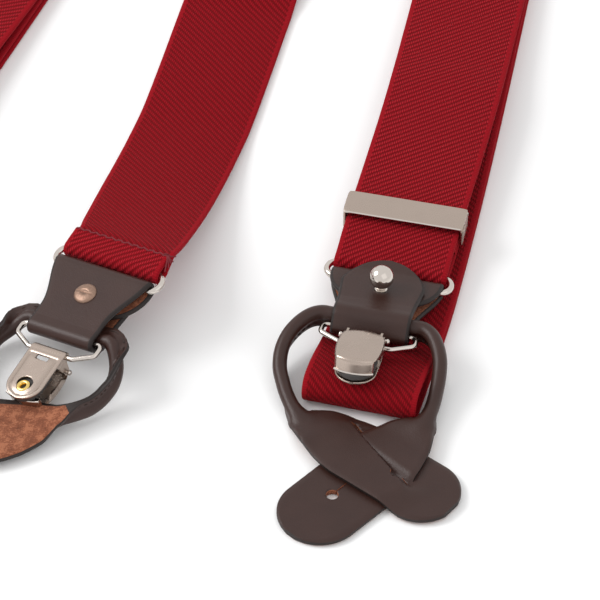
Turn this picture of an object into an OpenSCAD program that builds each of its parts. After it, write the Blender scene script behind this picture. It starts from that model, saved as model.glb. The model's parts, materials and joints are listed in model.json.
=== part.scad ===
// A pair of braces (suspenders) laid out flat: two front straps with slide adjusters and one rear
// strap meet in a leather back patch. Each strap ends in the same unit: a wire ring, a leather tab
// folded round it, a flap that buttons over a ball stud, a wire bail with a lever clip, and a rolled
// leather button loop with two slotted tabs. Units are millimetres, +Z is up and the floor is Z = 0.
// The origin is the middle of the back patch's underside.

/* [Webbing] */
// Width of the elastic webbing
web_w = 35; // [32:1:35]
// Thickness of the webbing
web_t = 1.5; // [1:0.1:1.6]
// Length of the turned-back end of the rear strap
hem_len = 6; // [5:0.5:10]

/* [Leather tab] */
// Thickness of the leather
leather_t = 1.8; // [1.2:0.1:1.8]
// Distance from the ring bar to the middle of the roll
tab_len = 20.3; // [20:0.1:22]
// Width of the tab at the ring
tab_w = 34.6; // [30:0.1:35]
// Width of the tab at the roll
roll_w = 24; // [20:0.5:24]
// Distance from the ring bar to the ball stud
stud_y = 9; // [8:0.5:10]
// Width of the round end of the flap
flap_w = 26; // [22:0.5:28]

/* [Wire and studs] */
// Diameter of the ring wire
ring_wire = 2; // [1.6:0.1:2]
// Distance between the two bars of the ring
ring_gap = 6.2; // [6.2:0.1:7]
// Diameter of the bail wire
bail_wire = 1.6; // [1.2:0.1:1.6]
// Length of the bail from the roll to the clip
bail_len = 7.4; // [7:0.1:8]
// Diameter of the ball stud
ball_d = 7.4; // [6:0.1:8]
// Diameter of the head of the stud screw
screw_head_d = 7.2; // [5:0.1:8]

/* [Clip] */
// Width of the back plate of the clip
clip_w = 12.6; // [12:0.1:13]
// Length of the back plate from the bail bar to its tip
clip_len = 20; // [19:0.5:20]
// Width of the domed lever
lever_w = 14.8; // [14.4:0.1:15.4]
// Length of the domed lever
lever_len = 17.5; // [16:0.5:18]
// Height of the closed clip above the bail bar
clip_h = 6.3; // [6:0.1:6.6]

/* [Button loop] */
// Diameter of the rolled leather cord
cord_d = 4.4; // [4:0.1:4.4]
// Width of the tabs at the ends of the loop
loop_tab_w = 25.6; // [22:0.2:26]
// Diameter of the button hole
button_hole_d = 3.8; // [3:0.1:4.5]

/* [Slide adjuster] */
// Width of the adjuster plate
slide_w = 37.2; // [37:0.1:39]
// Height of the adjuster plate along the strap
slide_l = 8.8; // [8:0.1:10]
// Thickness of the adjuster sheet metal
slide_t = 0.7; // [0.5:0.1:0.8]
// Distance of the adjuster from the ring
slide_y = 26.4; // [25:0.1:30]

/* [Back patch] */
// Thickness of each leather layer of the back patch
patch_t = 1.6; // [1.2:0.1:1.7]
// Widest part of the back patch
patch_w = 80; // [78:1:84]
// Height of the back patch
patch_h = 62; // [60:1:66]

/* [Hidden] */
$fn = 48;
eps = 0.01;
// Clearances: parts of one body, and parts that turn on each other
fit = 0.05;
run = 0.1;

ring_r = ring_wire / 2;
bail_r = bail_wire / 2;
cord_r = cord_d / 2;
ball_r = ball_d / 2;

// Leather folded round the ring bar
fold_in = ring_r + run;
fold_out = fold_in + leather_t;
// The roll round the cord, and the hole for the bail beside it
roll_z = 1.25;
roll_out = cord_r + run + leather_t;
bail_y = tab_len + 2.9;
bail_z = roll_z - 1.85;
// The flap lies on the front lobe and bends where it meets the roll
flap_z = fold_out + fit;
hinge_y = tab_len - 2.4;
hinge_z = flap_z + leather_t / 2;
flap_reach = 4.4;
lobe_len = 14;
// Where the tab's hollow sides are narrowest
hollow_y = 15;
// The stud: foot, neck below the ball, screw shank and head
stud_foot_r = 1.4;
stud_neck = 0.9;
shank_r = 0.9;
screw_head_t = 0.9;

// Webbing layers either side of the ring bar
layer = ring_r + run + web_t / 2;

// Where each end stands: origin on the lower ring bar, lean from -Y towards -X, pitch up towards
// the roll, roll about the strap, and 1 or -1 for face up or face down
right_ring = [35.2, -170.1, 6.9];
right_lean = 13;
tab_pitch = 9;
clip_pitch = 4;
rear_ring = [-50, -176.8, 16.9];
rear_lean = 31;
rear_pitch = -12;
rear_roll = 11;
// The left front strap is the right one turned about this point and moved to the left
turn = -14;
turn_at = [62.1, -44];
turn_to = [-93.5, -44];

// Height of the strap under the adjuster, and how far up the strap it stays at that height
slide_z = 9.8;
slide_run = 84;

// Button loops beyond the roll, in the level frame of their end: across, down the strap, height
front_cord_a = [[18.7, 21.7, 11.2], [21.6, 25.2, 10.5], [23.8, 29.8, 9.2], [24.6, 34.8, 7.5],
                [23.9, 39.8, 5.7], [22, 44.2, 4.5], [20, 48, 3.7], [17.2, 52, 3.1], [13.8, 55.4, 2.9]];
front_cord_b = [[-18.7, 22, 11.2], [-21.2, 25.8, 10.6], [-22.9, 30, 9.4], [-23.6, 34.4, 7.6],
                [-23.8, 39, 5.8], [-23.8, 43.6, 5], [-23.4, 48, 5], [-22.6, 51.6, 5]];
rear_cord_a = [[-19.6, 24.2, 11.2], [-20.9, 28.2, 7.8], [-20.4, 32.2, 5.4], [-19, 37.2, 4.2],
               [-16.4, 42, 4.2], [-13, 46.4, 4.2]];
rear_cord_b = [[18.9, 23.4, 5], [20.8, 28, 3.7], [21, 33, 2.8], [20, 38, 2.4], [18.2, 43, 2.3],
               [15.6, 47.6, 2.3]];
// How far the cord stays straight either side of the roll
cord_straight = 15.5;

UNIT = ["ring", "tab", "flap", "ball_stud", "stud_screw", "bail", "clip_plate", "clip_lever",
        "clip_pad", "clip_eyelet", "clip_pin", "loop_cord", "loop_tab_a", "loop_tab_b"];
SLIDE = ["adjuster_frame", "adjuster_lever", "adjuster_pin"];

// ---------- vectors ----------

function unit(v) = v / norm(v);
function left(d) = [-d.y, d.x];
function rise(v, z) = [v.x, v.y, z];
// Rotation matrices about the three axes
function rx(a) = [[1, 0, 0], [0, cos(a), -sin(a)], [0, sin(a), cos(a)]];
function ry(a) = [[cos(a), 0, sin(a)], [0, 1, 0], [-sin(a), 0, cos(a)]];
function rz(a) = [[cos(a), -sin(a), 0], [sin(a), cos(a), 0], [0, 0, 1]];
// Direction down a strap that leans by a from -Y towards -X
function down(a) = [-sin(a), -cos(a)];
// An end's own frame: +Y runs down the strap and +Z is the strap's face
function frame(lean, pitch = 0, roll = 0, face = 1) =
    rz(180 - lean) * rx(pitch) * ry(roll) * ry(face > 0 ? 0 : 180);

right_frame = frame(right_lean);
right_tab_frame = frame(right_lean, tab_pitch);
rear_frame = frame(rear_lean, rear_pitch, rear_roll, -1);

// Placing children by a matrix and an origin
module set_in(m, origin = [0, 0, 0]) {
    multmatrix([for (i = [0:2]) [m[i].x, m[i].y, m[i].z, origin[i]]]) children();
}

// Moving a piece of the right front strap to where the left one lies
module to_left() {
    translate(turn_to) rotate([0, 0, turn]) translate(-turn_at) children();
}

// ---------- webbing ----------

// A strap is a list of rows [point, across, face], swept into one solid of the webbing's section
function row(p, d, z, side, face) = [rise(p, z), rise(side * left(d), 0), [0, 0, face]];
function crease(d1, d2, side) =
    let (c = norm(d1 + d2) < eps ? left(d1) : unit(d1 + d2)) (c * left(d1)) * side < 0 ? -c : c;
// Half a turn round a crease at p, from height z1 to z2, coming along d1 and leaving along d2
function turn_rows(p, d1, d2, z1, z2, side, face) =
    let (c = crease(d1, d2, side),
         n = unit(d1 - (d1 * c) * c),
         up = z2 > z1 ? 1 : -1,
         r = abs(z2 - z1) / 2,
         wide = 1 / abs(c.x * d1.y - c.y * d1.x))
    [for (a = [0:22.5:180])
        [rise(p + r * sin(a) * n, (z1 + z2) / 2 - up * r * cos(a)), rise(c * wide, 0),
         face * rise(-up * sin(a) * n, cos(a))]];
function row_corners(r) =
    let (w = r[1] * web_w / 2, n = unit(r[2]) * web_t / 2)
    [r[0] + w + n, r[0] - w + n, r[0] - w - n, r[0] + w - n];

module webbing(rows) {
    n = len(rows);
    sides = [for (i = [0:n - 2], k = [0:3], t = [0, 1])
        let (a = 4 * i + k, b = 4 * i + (k + 1) % 4)
        t == 0 ? [a, b, b + 4] : [a, b + 4, a + 4]];
    ends = [[2, 1, 0], [3, 2, 0], [4 * n - 4, 4 * n - 3, 4 * n - 2], [4 * n - 4, 4 * n - 2, 4 * n - 1]];
    polyhedron([for (r = rows, c = row_corners(r)) c], concat(sides, ends));
}

// Rows given in an end's own frame: [y, z] of the centre line and the tilt of the face
function end_row(m, origin, y, z, tilt, side) =
    [origin + m * [0, y, z], m * [side, 0, 0], m * [0, -sin(tilt), cos(tilt)]];
// Half a turn round the upper ring bar, from the face layer to the layer behind it
function ring_rows(m, origin, side) =
    [for (a = [0:22.5:180]) end_row(m, origin, -ring_gap + layer * sin(a), layer * cos(a), -a, side)];

// Front strap: patch, up, back under itself, down to a loose fold, up again, over and down to the ring
patch_at = [-7.5, -30];
patch_lean = 14;
patch_up = -down(patch_lean);
patch_across = [patch_up.y, -patch_up.x];
strap_z = patch_t + fit + web_t / 2;
floor_z = web_t / 2;
back_z = 2.6;
fold_z = 9.6;
top_z = 5.4;
top_lean = 10.5;
bottom_fold = [27.5, -213.6];
bend_at = [39.1, -169.2];
top_fold = bend_at - down(top_lean) * 160;
far_fold = bend_at - down(top_lean) * 213;

function front_start() = patch_at + 44 * patch_up + 26 * patch_across;
function leg(p, q) = unit(q - p);
function front_rows(far, start) =
    let (d0 = leg(start, far), d1 = leg(far, bend_at), d2 = leg(bend_at, bottom_fold),
         ring_xy = [right_ring.x, right_ring.y], d3 = down(right_lean),
         above = ring_xy - slide_run * d3, d4 = leg(top_fold, above))
    concat(
        [row(start, d0, strap_z, 1, -1), row(start + 14 * d0, d0, strap_z, 1, -1),
         row(far - 12 * d0, d0, 4.6, 1, -1)],
        turn_rows(far, d0, d1, 4.6, floor_z, 1, -1),
        [row(far + 14 * d1, d1, floor_z, -1, 1), row(bend_at, d1, floor_z, -1, 1)],
        turn_rows(bottom_fold, d2, -d2, floor_z, fold_z, -1, 1),
        [for (s = [[4, 9.2], [9, 8], [15, 5.9], [21, 3.9], [26, 2.9], [32, back_z]])
            row(bottom_fold - s[0] * d2, -d2, s[1], 1, -1)],
        [row(bend_at, -d1, back_z, 1, -1)],
        turn_rows(top_fold, -d1, d4, back_z, top_z, 1, -1),
        [row(top_fold + 6 * d4, d4, top_z, -1, 1), row(above - 18 * d4, d4, 8, -1, 1),
         row(above, d3, slide_z, -1, 1), row(ring_xy - 17 * d3, d3, slide_z, -1, 1),
         row(ring_xy - 11 * d3, d3, right_ring.z + layer + 0.3, -1, 1)],
        ring_rows(right_frame, right_ring, 1),
        [end_row(right_frame, right_ring, -ring_gap - 3, -layer, -180, 1)]);

// The tail runs from the ring up to the bar of the adjuster, round it and back
bar_z = slide_z - right_ring.z - 3.7;
bar_r = 0.9;
bar_layer = bar_r + run + web_t / 2;
function tail_rows() =
    let (bar_y = -slide_y)
    concat(
        [for (s = [[-ring_gap - 3 - fit, -layer], [bar_y + 10, bar_z - bar_layer + 0.2],
                   [bar_y, bar_z - bar_layer]])
            end_row(right_frame, right_ring, s[0], s[1], 180, 1)],
        [for (a = [22.5:22.5:180])
            end_row(right_frame, right_ring, bar_y - bar_layer * sin(a), bar_z - bar_layer * cos(a),
                    180 + a, 1)],
        [end_row(right_frame, right_ring, bar_y + 4, bar_z + bar_layer - 0.1, 0, 1),
         end_row(right_frame, right_ring, bar_y + 9, bar_z + bar_layer - 0.9, -10, 1)]);

module right_front_strap() { color("firebrick") webbing(front_rows(far_fold, front_start())); }
module right_front_tail() { color("firebrick") webbing(tail_rows()); }

// The left strap's start on the patch, brought back through the turn
function unturn(p) = let (q = rz(-turn) * rise(p - turn_to, 0)) [q.x, q.y] + turn_at;
left_start = unturn(patch_at + 44 * patch_up - 26 * patch_across);
left_far = bend_at - down(top_lean) * 236;
module left_front_strap() { color("firebrick") to_left() webbing(front_rows(left_far, left_start)); }
module left_front_tail() { color("firebrick") to_left() webbing(tail_rows()); }

// Rear strap: from the patch down to the rear ring, round it, and back under its own hem
function rear_rows() =
    let (start = patch_at + 22 * patch_up, d0 = down(patch_lean), knee = [-22.8, -92])
    concat(
        [row(start, d0, strap_z, 1, -1), row(patch_at - 4 * patch_up, d0, strap_z, 1, -1),
         row(patch_at - 14 * patch_up, d0, floor_z + 0.2, 1, -1), row(knee, down(16), 1.4, 1, -1),
         row(knee + 18 * down(17), down(18), 4, 1, -1)],
        [for (y = [-28, -21, -13]) end_row(rear_frame, rear_ring, y, layer + (y < -21 ? -0.6 : 0), 0, 1)],
        ring_rows(rear_frame, rear_ring, 1),
        [end_row(rear_frame, rear_ring, -hem_len - ring_gap, -layer, -180, 1)]);
module rear_strap() { color("firebrick") webbing(rear_rows()); }

// ---------- back patch ----------

module patch_outline() {
    w = patch_w / 2;
    polygon([[-20, 0], [20, 0], [22, 16], [w, 36], [w - 12, patch_h], [12, patch_h - 8],
             [-12, patch_h - 8], [12 - w, patch_h], [-w, 36], [-22, 16]]);
}
module on_patch(z) {
    translate(rise(patch_at, z)) rotate([0, 0, -patch_lean]) linear_extrude(patch_t) patch_outline();
}
module patch_face() { color("#45332f") on_patch(0); }
module patch_backing() { color("#45332f") on_patch(patch_t + web_t + 2 * fit + 0.05); }

// ---------- ring ----------

module rod(r, w) {
    rotate([0, 90, 0]) cylinder(r = r, h = w, center = true);
}
module ring_piece() {
    half = web_w / 2 + 1;
    color("silver") {
        rod(ring_r, 2 * half);
        translate([0, -ring_gap, 0]) rod(ring_r, 2 * half);
        for (s = [-1, 1])
            translate([s * half, -ring_gap / 2, 0]) rotate([0, 0, s > 0 ? -90 : 90])
                rotate_extrude(angle = 180) translate([ring_gap / 2, 0]) circle(ring_r);
    }
}

// ---------- leather tab and flap ----------

// The tab narrows from the ring to the roll along two hollow sides
module tab_outline() {
    a = tab_w / 2;
    b = roll_w / 2;
    polygon([[-b, tab_len], [-a, 0], [a, 0], [b, tab_len]]);
}
// Circle through the wide corner and tangent to the roll's side, cut away from the outline
module tab_hollows() {
    d = (tab_w - roll_w) / 2;
    r = (d * d + hollow_y * hollow_y) / (2 * d);
    for (s = [-1, 1])
        translate([s * (roll_w / 2 + r + 0.2), hollow_y]) circle(r, $fn = 120);
}
module lobe_outline() {
    a = tab_w / 2 - 0.3;
    r = (a * a + lobe_len * lobe_len) / (2 * lobe_len);
    intersection() {
        translate([0, lobe_len - r]) circle(r, $fn = 96);
        translate([-a - 1, 0]) square([2 * a + 2, lobe_len + 1]);
    }
}
module tab_piece() {
    color("#3b2b28") difference() {
        union() {
            // Fold round the ring bar
            rotate([0, 90, 0]) difference() {
                cylinder(r = fold_out, h = tab_w, center = true);
                cylinder(r = fold_in, h = tab_w + 1, center = true);
                translate([-fold_out - 1, 0, -tab_w / 2 - 1])
                    cube([2 * fold_out + 2, fold_out + 1, tab_w + 2]);
            }
            // Layer behind
            translate([0, 0, -fold_out]) linear_extrude(leather_t) difference() {
                tab_outline();
                tab_hollows();
            }
            // Lobe in front
            translate([0, 0, fold_in]) linear_extrude(leather_t) lobe_outline();
            // Roll round the cord and the bail
            translate([0, tab_len, roll_z]) rod(roll_out, roll_w);
            translate([0, bail_y, bail_z]) rod(bail_r + run + leather_t, roll_w);
        }
        translate([0, tab_len, roll_z]) rod(cord_r + run, roll_w + 1);
        translate([0, bail_y, bail_z]) rod(bail_r + run, roll_w + 1);
        // Seat for the hinge line of the flap
        translate([0, hinge_y, hinge_z]) rod(leather_t / 2 + fit, roll_w + 1);
        translate([-roll_w / 2 - 1, 0.5, flap_z - fit / 2])
            cube([roll_w + 2, hinge_y - 0.5, roll_out + 2]);
        translate([0, stud_y, 0]) cylinder(r = shank_r + fit, h = 20, center = true);
    }
}
module flap_piece() {
    color("#45332f") difference() {
        union() {
            translate([0, 0, flap_z]) linear_extrude(leather_t) {
                translate([0, -flap_reach + flap_w / 2]) circle(flap_w / 2, $fn = 96);
                polygon([[-flap_w / 2, -flap_reach + flap_w / 2], [flap_w / 2, -flap_reach + flap_w / 2],
                         [roll_w / 2, hinge_y], [-roll_w / 2, hinge_y]]);
            }
            translate([0, hinge_y, hinge_z]) rod(leather_t / 2, roll_w);
        }
        translate([0, stud_y, 0]) cylinder(r = 1.6, h = 20);
        translate([-20, hinge_y, flap_z - 5]) difference() {
            cube([40, 20, 10]);
            translate([20, 0, 5 + leather_t / 2]) rod(leather_t / 2, roll_w + 2);
        }
    }
}
module ball_stud_piece() {
    centre = flap_z + leather_t + stud_neck + ball_r;
    color("silver") translate([0, stud_y, 0]) difference() {
        union() {
            translate([0, 0, centre]) sphere(ball_r);
            translate([0, 0, flap_z]) cylinder(r = stud_foot_r, h = centre - flap_z);
        }
        cylinder(r = shank_r + fit, h = flap_z + 3);
    }
}
module stud_screw_piece() {
    color("#7a5a48") translate([0, stud_y, 0]) difference() {
        union() {
            translate([0, 0, -fold_out - fit - screw_head_t])
                cylinder(r = screw_head_d / 2, h = screw_head_t);
            translate([0, 0, -fold_out - fit - eps]) cylinder(r = shank_r, h = 2 * fold_out + 2);
        }
        translate([-5, -0.4, -fold_out - screw_head_t - 1]) cube([10, 0.8, 1.4]);
    }
}

// ---------- bail and clip ----------

// Flat closed loop of wire along a path of left turns; each bend is a collar over the wire's ends
collar = 0.04;
overlap = 0.2;
function corner_turn(p, i) =
    let (n = len(p), a = unit(p[i] - p[(i + n - 1) % n]), b = unit(p[(i + 1) % n] - p[i]))
    acos(a * b);
module wire_loop(p, r, bend) {
    n = len(p);
    for (i = [0:n - 1]) {
        before = unit(p[i] - p[(i + n - 1) % n]);
        after = unit(p[(i + 1) % n] - p[i]);
        cut = bend * tan(corner_turn(p, i) / 2);
        next_cut = bend * tan(corner_turn(p, (i + 1) % n) / 2);
        translate(rise(p[i] - cut * before + bend * left(before), 0))
            rotate([0, 0, atan2(-before.x, before.y)])
            rotate_extrude(angle = corner_turn(p, i)) translate([bend, 0]) circle(r + collar);
        translate(rise(p[i] + (cut - overlap) * after, 0)) rotate([90, 0, atan2(after.y, after.x) + 90])
            cylinder(r = r, h = norm(p[(i + 1) % n] - p[i]) - cut - next_cut + 2 * overlap);
    }
}
module bail_piece() {
    corner = 14.4;
    knee = 4.1;
    foot = clip_w / 2 + 1.8;
    color("silver") wire_loop([[-corner, 0], [corner, 0], [corner, knee], [foot, bail_len],
                               [-foot, bail_len], [-corner, knee]], bail_r, 1.7);
}

// The clip's own frame has its origin on the bail's lower bar, +Y towards the jaw
plate_t = 0.7;
knuckle_r = bail_r + run + plate_t;
pivot_y = 2.2;
pivot_z = 4.2;
pivot_r = 0.7;
ear_t = 0.7;
ear_r = 1.2;
eyelet_y = 14.5;
module clip_plate_piece() {
    w = clip_w / 2;
    color("silver") difference() {
        union() {
            rod(knuckle_r, clip_w - 0.4);
            translate([0, 0, -knuckle_r]) linear_extrude(plate_t) {
                translate([-w, 0]) square([clip_w, clip_len - w]);
                translate([0, clip_len - w]) circle(w, $fn = 64);
            }
            for (s = [-1, 1]) {
                translate([s > 0 ? w - ear_t : -w, pivot_y - ear_r, -knuckle_r])
                    cube([ear_t, 2 * ear_r, pivot_z + knuckle_r]);
                translate([s * (w - ear_t / 2), pivot_y, pivot_z]) rod(ear_r, ear_t);
            }
        }
        rod(bail_r + run, clip_w + 1);
        translate([-2.4, 2.4, -knuckle_r - 1]) cube([4.8, 2, plate_t + 2]);
        translate([0, pivot_y, pivot_z]) rod(pivot_r + 0.02, clip_w + 1);
        translate([0, eyelet_y, -knuckle_r - 1]) cylinder(r = 1.6, h = plate_t + 2);
    }
}
module clip_pad_piece() {
    color("#2b2624") translate([0, 0, -knuckle_r + plate_t + fit]) difference() {
        linear_extrude(2) intersection() {
            translate([-clip_w / 2 + 0.8, 8]) square([clip_w - 1.6, clip_len - 8.4]);
            union() {
                translate([0, clip_len - clip_w / 2]) circle(clip_w / 2 - 0.5, $fn = 64);
                translate([-clip_w / 2, 8]) square([clip_w, clip_len - clip_w / 2 - 8]);
            }
        }
        translate([0, eyelet_y, -1]) cylinder(r = 1.6, h = 4);
    }
}
module clip_eyelet_piece() {
    color("goldenrod") translate([0, eyelet_y, 0]) difference() {
        union() {
            translate([0, 0, -knuckle_r - fit - 0.4]) cylinder(r = 2.4, h = 0.4);
            translate([0, 0, -knuckle_r - fit - eps]) cylinder(r = 1.55, h = plate_t + 2.2);
        }
        translate([0, 0, -5]) cylinder(r = 1, h = 10);
    }
}
module clip_lever_piece() {
    w = lever_w / 2;
    skin = 0.8;
    lug = clip_w / 2 - ear_t - run;
    color("silver") difference() {
        union() {
            translate([-w, 0.2, clip_h - skin]) cube([lever_w, lever_len - 0.2, skin]);
            // Side skirts outside the plate, and the jaw lip at the front
            for (s = [-1, 1])
                translate([s > 0 ? w - 0.7 : -w, 5, clip_h - 2.6]) cube([0.7, lever_len - 5, 2.6]);
            translate([-w, lever_len - 0.8, 1.5]) cube([lever_w, 0.8, clip_h - 1.5]);
            // Lugs on the pivot
            for (s = [-1, 1])
                translate([s > 0 ? lug - ear_t : -lug, 0.9, pivot_z - 1.2])
                    cube([ear_t, 2.6, clip_h - pivot_z + 0.9]);
        }
        translate([0, pivot_y, pivot_z]) rod(pivot_r + 0.06, clip_w + 2);
    }
}
module clip_pin_piece() {
    color("silver") translate([0, pivot_y, pivot_z]) {
        rod(pivot_r, clip_w + 0.6);
        for (s = [-1, 1]) translate([s * (clip_w / 2 + 0.6), 0, 0]) sphere(0.9);
    }
}

// ---------- button loop ----------

// Round tube along hand-set points, with its rings square to the path
function path_dir(p, i) =
    unit(p[min(i + 1, len(p) - 1)] - p[max(i - 1, 0)]);
function tube_ring(p, i, r, n) =
    let (d = path_dir(p, i), s = unit(cross(d, [0, 0, 1])), u = cross(s, d))
    [for (k = [0:n - 1]) p[i] + r * (cos(360 * k / n) * s + sin(360 * k / n) * u)];
module tube(p, r, n = 10) {
    m = len(p);
    sides = [for (i = [0:m - 2], k = [0:n - 1], t = [0, 1])
        let (a = n * i + k, b = n * i + (k + 1) % n)
        t == 0 ? [a, b, b + n] : [a, b + n, a + n]];
    polyhedron([for (i = [0:m - 1], c = tube_ring(p, i, r, n)) c],
               concat(sides, [[for (k = [n - 1:-1:0]) k]], [[for (k = [0:n - 1]) n * (m - 1) + k]]));
}
function reversed(p) = [for (i = [len(p) - 1:-1:0]) p[i]];
// World route of a loop: side a, back to the roll, through it, and out along side b
function level(o, lean, p) = [o.x, o.y, 0] + frame(lean) * p;
function cord_route(m, o, lean, side_a, side_b) =
    let (x = cross(m * [0, 1, 0], m * [0, 0, 1]) * frame(lean) * [1, 0, 0] > 0 ? 1 : -1,
         sa = side_a[0].x > 0 ? x : -x)
    concat([for (p = reversed(side_a)) level(o, lean, p)],
           [for (s = [sa, sa * roll_w / 2 / cord_straight, -sa * roll_w / 2 / cord_straight, -sa])
               o + m * [s * cord_straight, tab_len, roll_z]],
           [for (p = side_b) level(o, lean, p)]);
module cord_piece(route) {
    color("#3b2b28") tube(route, cord_r);
}

// A slot with a round end for the button
module keyhole(hole, to, gap) {
    translate(hole) circle(button_hole_d / 2);
    d = to - hole;
    translate(hole) rotate(atan2(d.y, d.x)) translate([0, -gap / 2]) square([norm(d), gap]);
}
// Front loop: tab b goes down through the slot of tab a
slot_from = [-1.9, 54.6];
slot_to = [-22.3, 75];
hole_a = [-18.8, 71.5];
slot_gap = 2.5;
module front_tab_a_piece() {
    slot = slot_to - slot_from;
    color("#4e3d39") translate([0, 0, 2.1]) difference() {
        union() {
            translate([-27, 75.4, 0]) cylinder(r = 12, h = leather_t, $fn = 96);
            linear_extrude(leather_t)
                polygon([[12.4, 57.4], [11, 53.4], [2, 51.2], [-12, 52], [-20, 55.4], [-34.5, 66.5],
                         [-31, 80], [-19.5, 84.4], [5.5, 66.4]]);
        }
        translate(rise(slot_from, -1)) rotate([0, 0, atan2(slot.y, slot.x)])
            translate([0, -slot_gap / 2, 0]) cube([norm(slot), slot_gap, leather_t + 2]);
        translate(rise(hole_a, -1)) cylinder(r = button_hole_d / 2, h = leather_t + 2);
    }
}
module front_tab_b_piece() {
    along = unit(slot_to - slot_from);
    across = [along.y, -along.x];
    from = slot_from + 2.2 * along;
    to = slot_to - 2.6 * along;
    t = leather_t;
    over = 4.2;
    color("#5d4d49") {
        // Above tab a, from the cord to the slot
        translate([0, 0, over]) linear_extrude(t)
            polygon([from - across * t / 2, to - across * t / 2, to + across * t / 2 + [-1, -7],
                     [-25.4, 54.6], [-24.6, 52.4], [-20.6, 52.4], [-14, 52.6]]);
        // Through the slot
        linear_extrude(over + t)
            polygon([from - across * t / 2, to - across * t / 2, to + across * t / 2, from + across * t / 2]);
        // Under tab a and out to the round end
        linear_extrude(t) difference() {
            union() {
                translate([0.2, 89.6]) circle(loop_tab_w / 2, $fn = 96);
                polygon([from, [4.6, 63.6], [9.6, 73.6], [12.6, 86.6], [-11.9, 94], [-17.6, 85.4], to]);
            }
            keyhole([-2, 83], [-10.4, 68], 0.6);
        }
    }
}
// Rear loop: both tabs lie on the floor side by side, one over the other
module rear_tab_piece(top) {
    tip = top ? [18, 73] : [22, 69];
    root = top ? [-11.6, 48.4] : [14.8, 49.6];
    d = unit(tip - root);
    n = left(d);
    w = loop_tab_w / 2;
    hole = tip - 4 * d;
    color("#845a45") translate([0, 0, top ? 1.9 : 0]) linear_extrude(leather_t) difference() {
        union() {
            translate(tip) circle(w, $fn = 96);
            polygon([root + 2 * n, root - 2 * n, tip - w * n - 6 * d, tip - w * n, tip + w * n,
                     tip + w * n - 6 * d]);
        }
        keyhole(hole, hole - 10 * d, 0.6);
    }
}

// ---------- slide adjuster ----------

// Its own frame: origin in the middle of the webbing, +Y down the strap
lever_pin_y = -3.6;
lever_pin_z = 1.9;
boss_r = 0.75;
lug_r = 1.05;
module adjuster_frame_piece() {
    half = web_w / 2 + 0.3;
    color("silver") difference() {
        union() {
            for (s = [-1, 1]) {
                near = s > 0 ? half : -half - slide_t;
                translate([near, lever_pin_y + 1.6, -4.6])
                    cube([slide_t, slide_l / 2 - lever_pin_y - 1.6, 7]);
                translate([near, lever_pin_y - 0.6, -4.6]) cube([slide_t, 2.3, 4.6 + lever_pin_z]);
                translate([near + slide_t / 2, lever_pin_y, lever_pin_z]) rod(boss_r, slide_t);
            }
            translate([0, 0, bar_z + right_ring.z - slide_z]) rod(bar_r, 2 * half + 0.2);
        }
        translate([0, lever_pin_y, lever_pin_z]) rod(0.62, 60);
    }
}
module adjuster_lever_piece() {
    lug = web_w / 2 - 0.9;
    color("gainsboro") difference() {
        union() {
            translate([-slide_w / 2, lever_pin_y - 0.7, 2.75]) cube([slide_w, slide_l, slide_t]);
            for (s = [-1, 1]) {
                near = s > 0 ? lug : -lug - slide_t;
                translate([near, lever_pin_y - 0.7, lever_pin_z]) cube([slide_t, 1.7, 0.9]);
                translate([near + slide_t / 2, lever_pin_y, lever_pin_z]) rod(lug_r, slide_t);
            }
        }
        translate([0, lever_pin_y, lever_pin_z]) rod(0.66, 60);
    }
}
module adjuster_pin_piece() {
    color("silver") translate([0, lever_pin_y, lever_pin_z]) rod(0.6, web_w + 2.2);
}

// ---------- placing ----------

tab_down = [0, bail_y, bail_z];
module in_right(kind) {
    if (kind == "world") children();
    if (kind == "ring") set_in(right_frame, right_ring) children();
    if (kind == "tab") set_in(right_tab_frame, right_ring) children();
    if (kind == "bail") set_in(right_tab_frame, right_ring + right_tab_frame * tab_down) children();
    if (kind == "clip")
        set_in(frame(right_lean, tab_pitch + clip_pitch),
               right_ring + right_tab_frame * (tab_down + [0, bail_len, 0])) children();
    if (kind == "loop") set_in(right_frame, [right_ring.x, right_ring.y, 0]) children();
    if (kind == "slide")
        set_in(right_frame, rise(right_ring - rise(slide_y * down(right_lean), 0), slide_z)) children();
}
module in_rear(kind) {
    if (kind == "ring" || kind == "tab") set_in(rear_frame, rear_ring) children();
    if (kind == "bail") set_in(rear_frame, rear_ring + rear_frame * tab_down) children();
    if (kind == "clip")
        set_in(rear_frame, rear_ring + rear_frame * (tab_down + [0, bail_len, 0])) children();
    if (kind == "loop") set_in(frame(rear_lean), [rear_ring.x, rear_ring.y, 0]) children();
}
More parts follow.
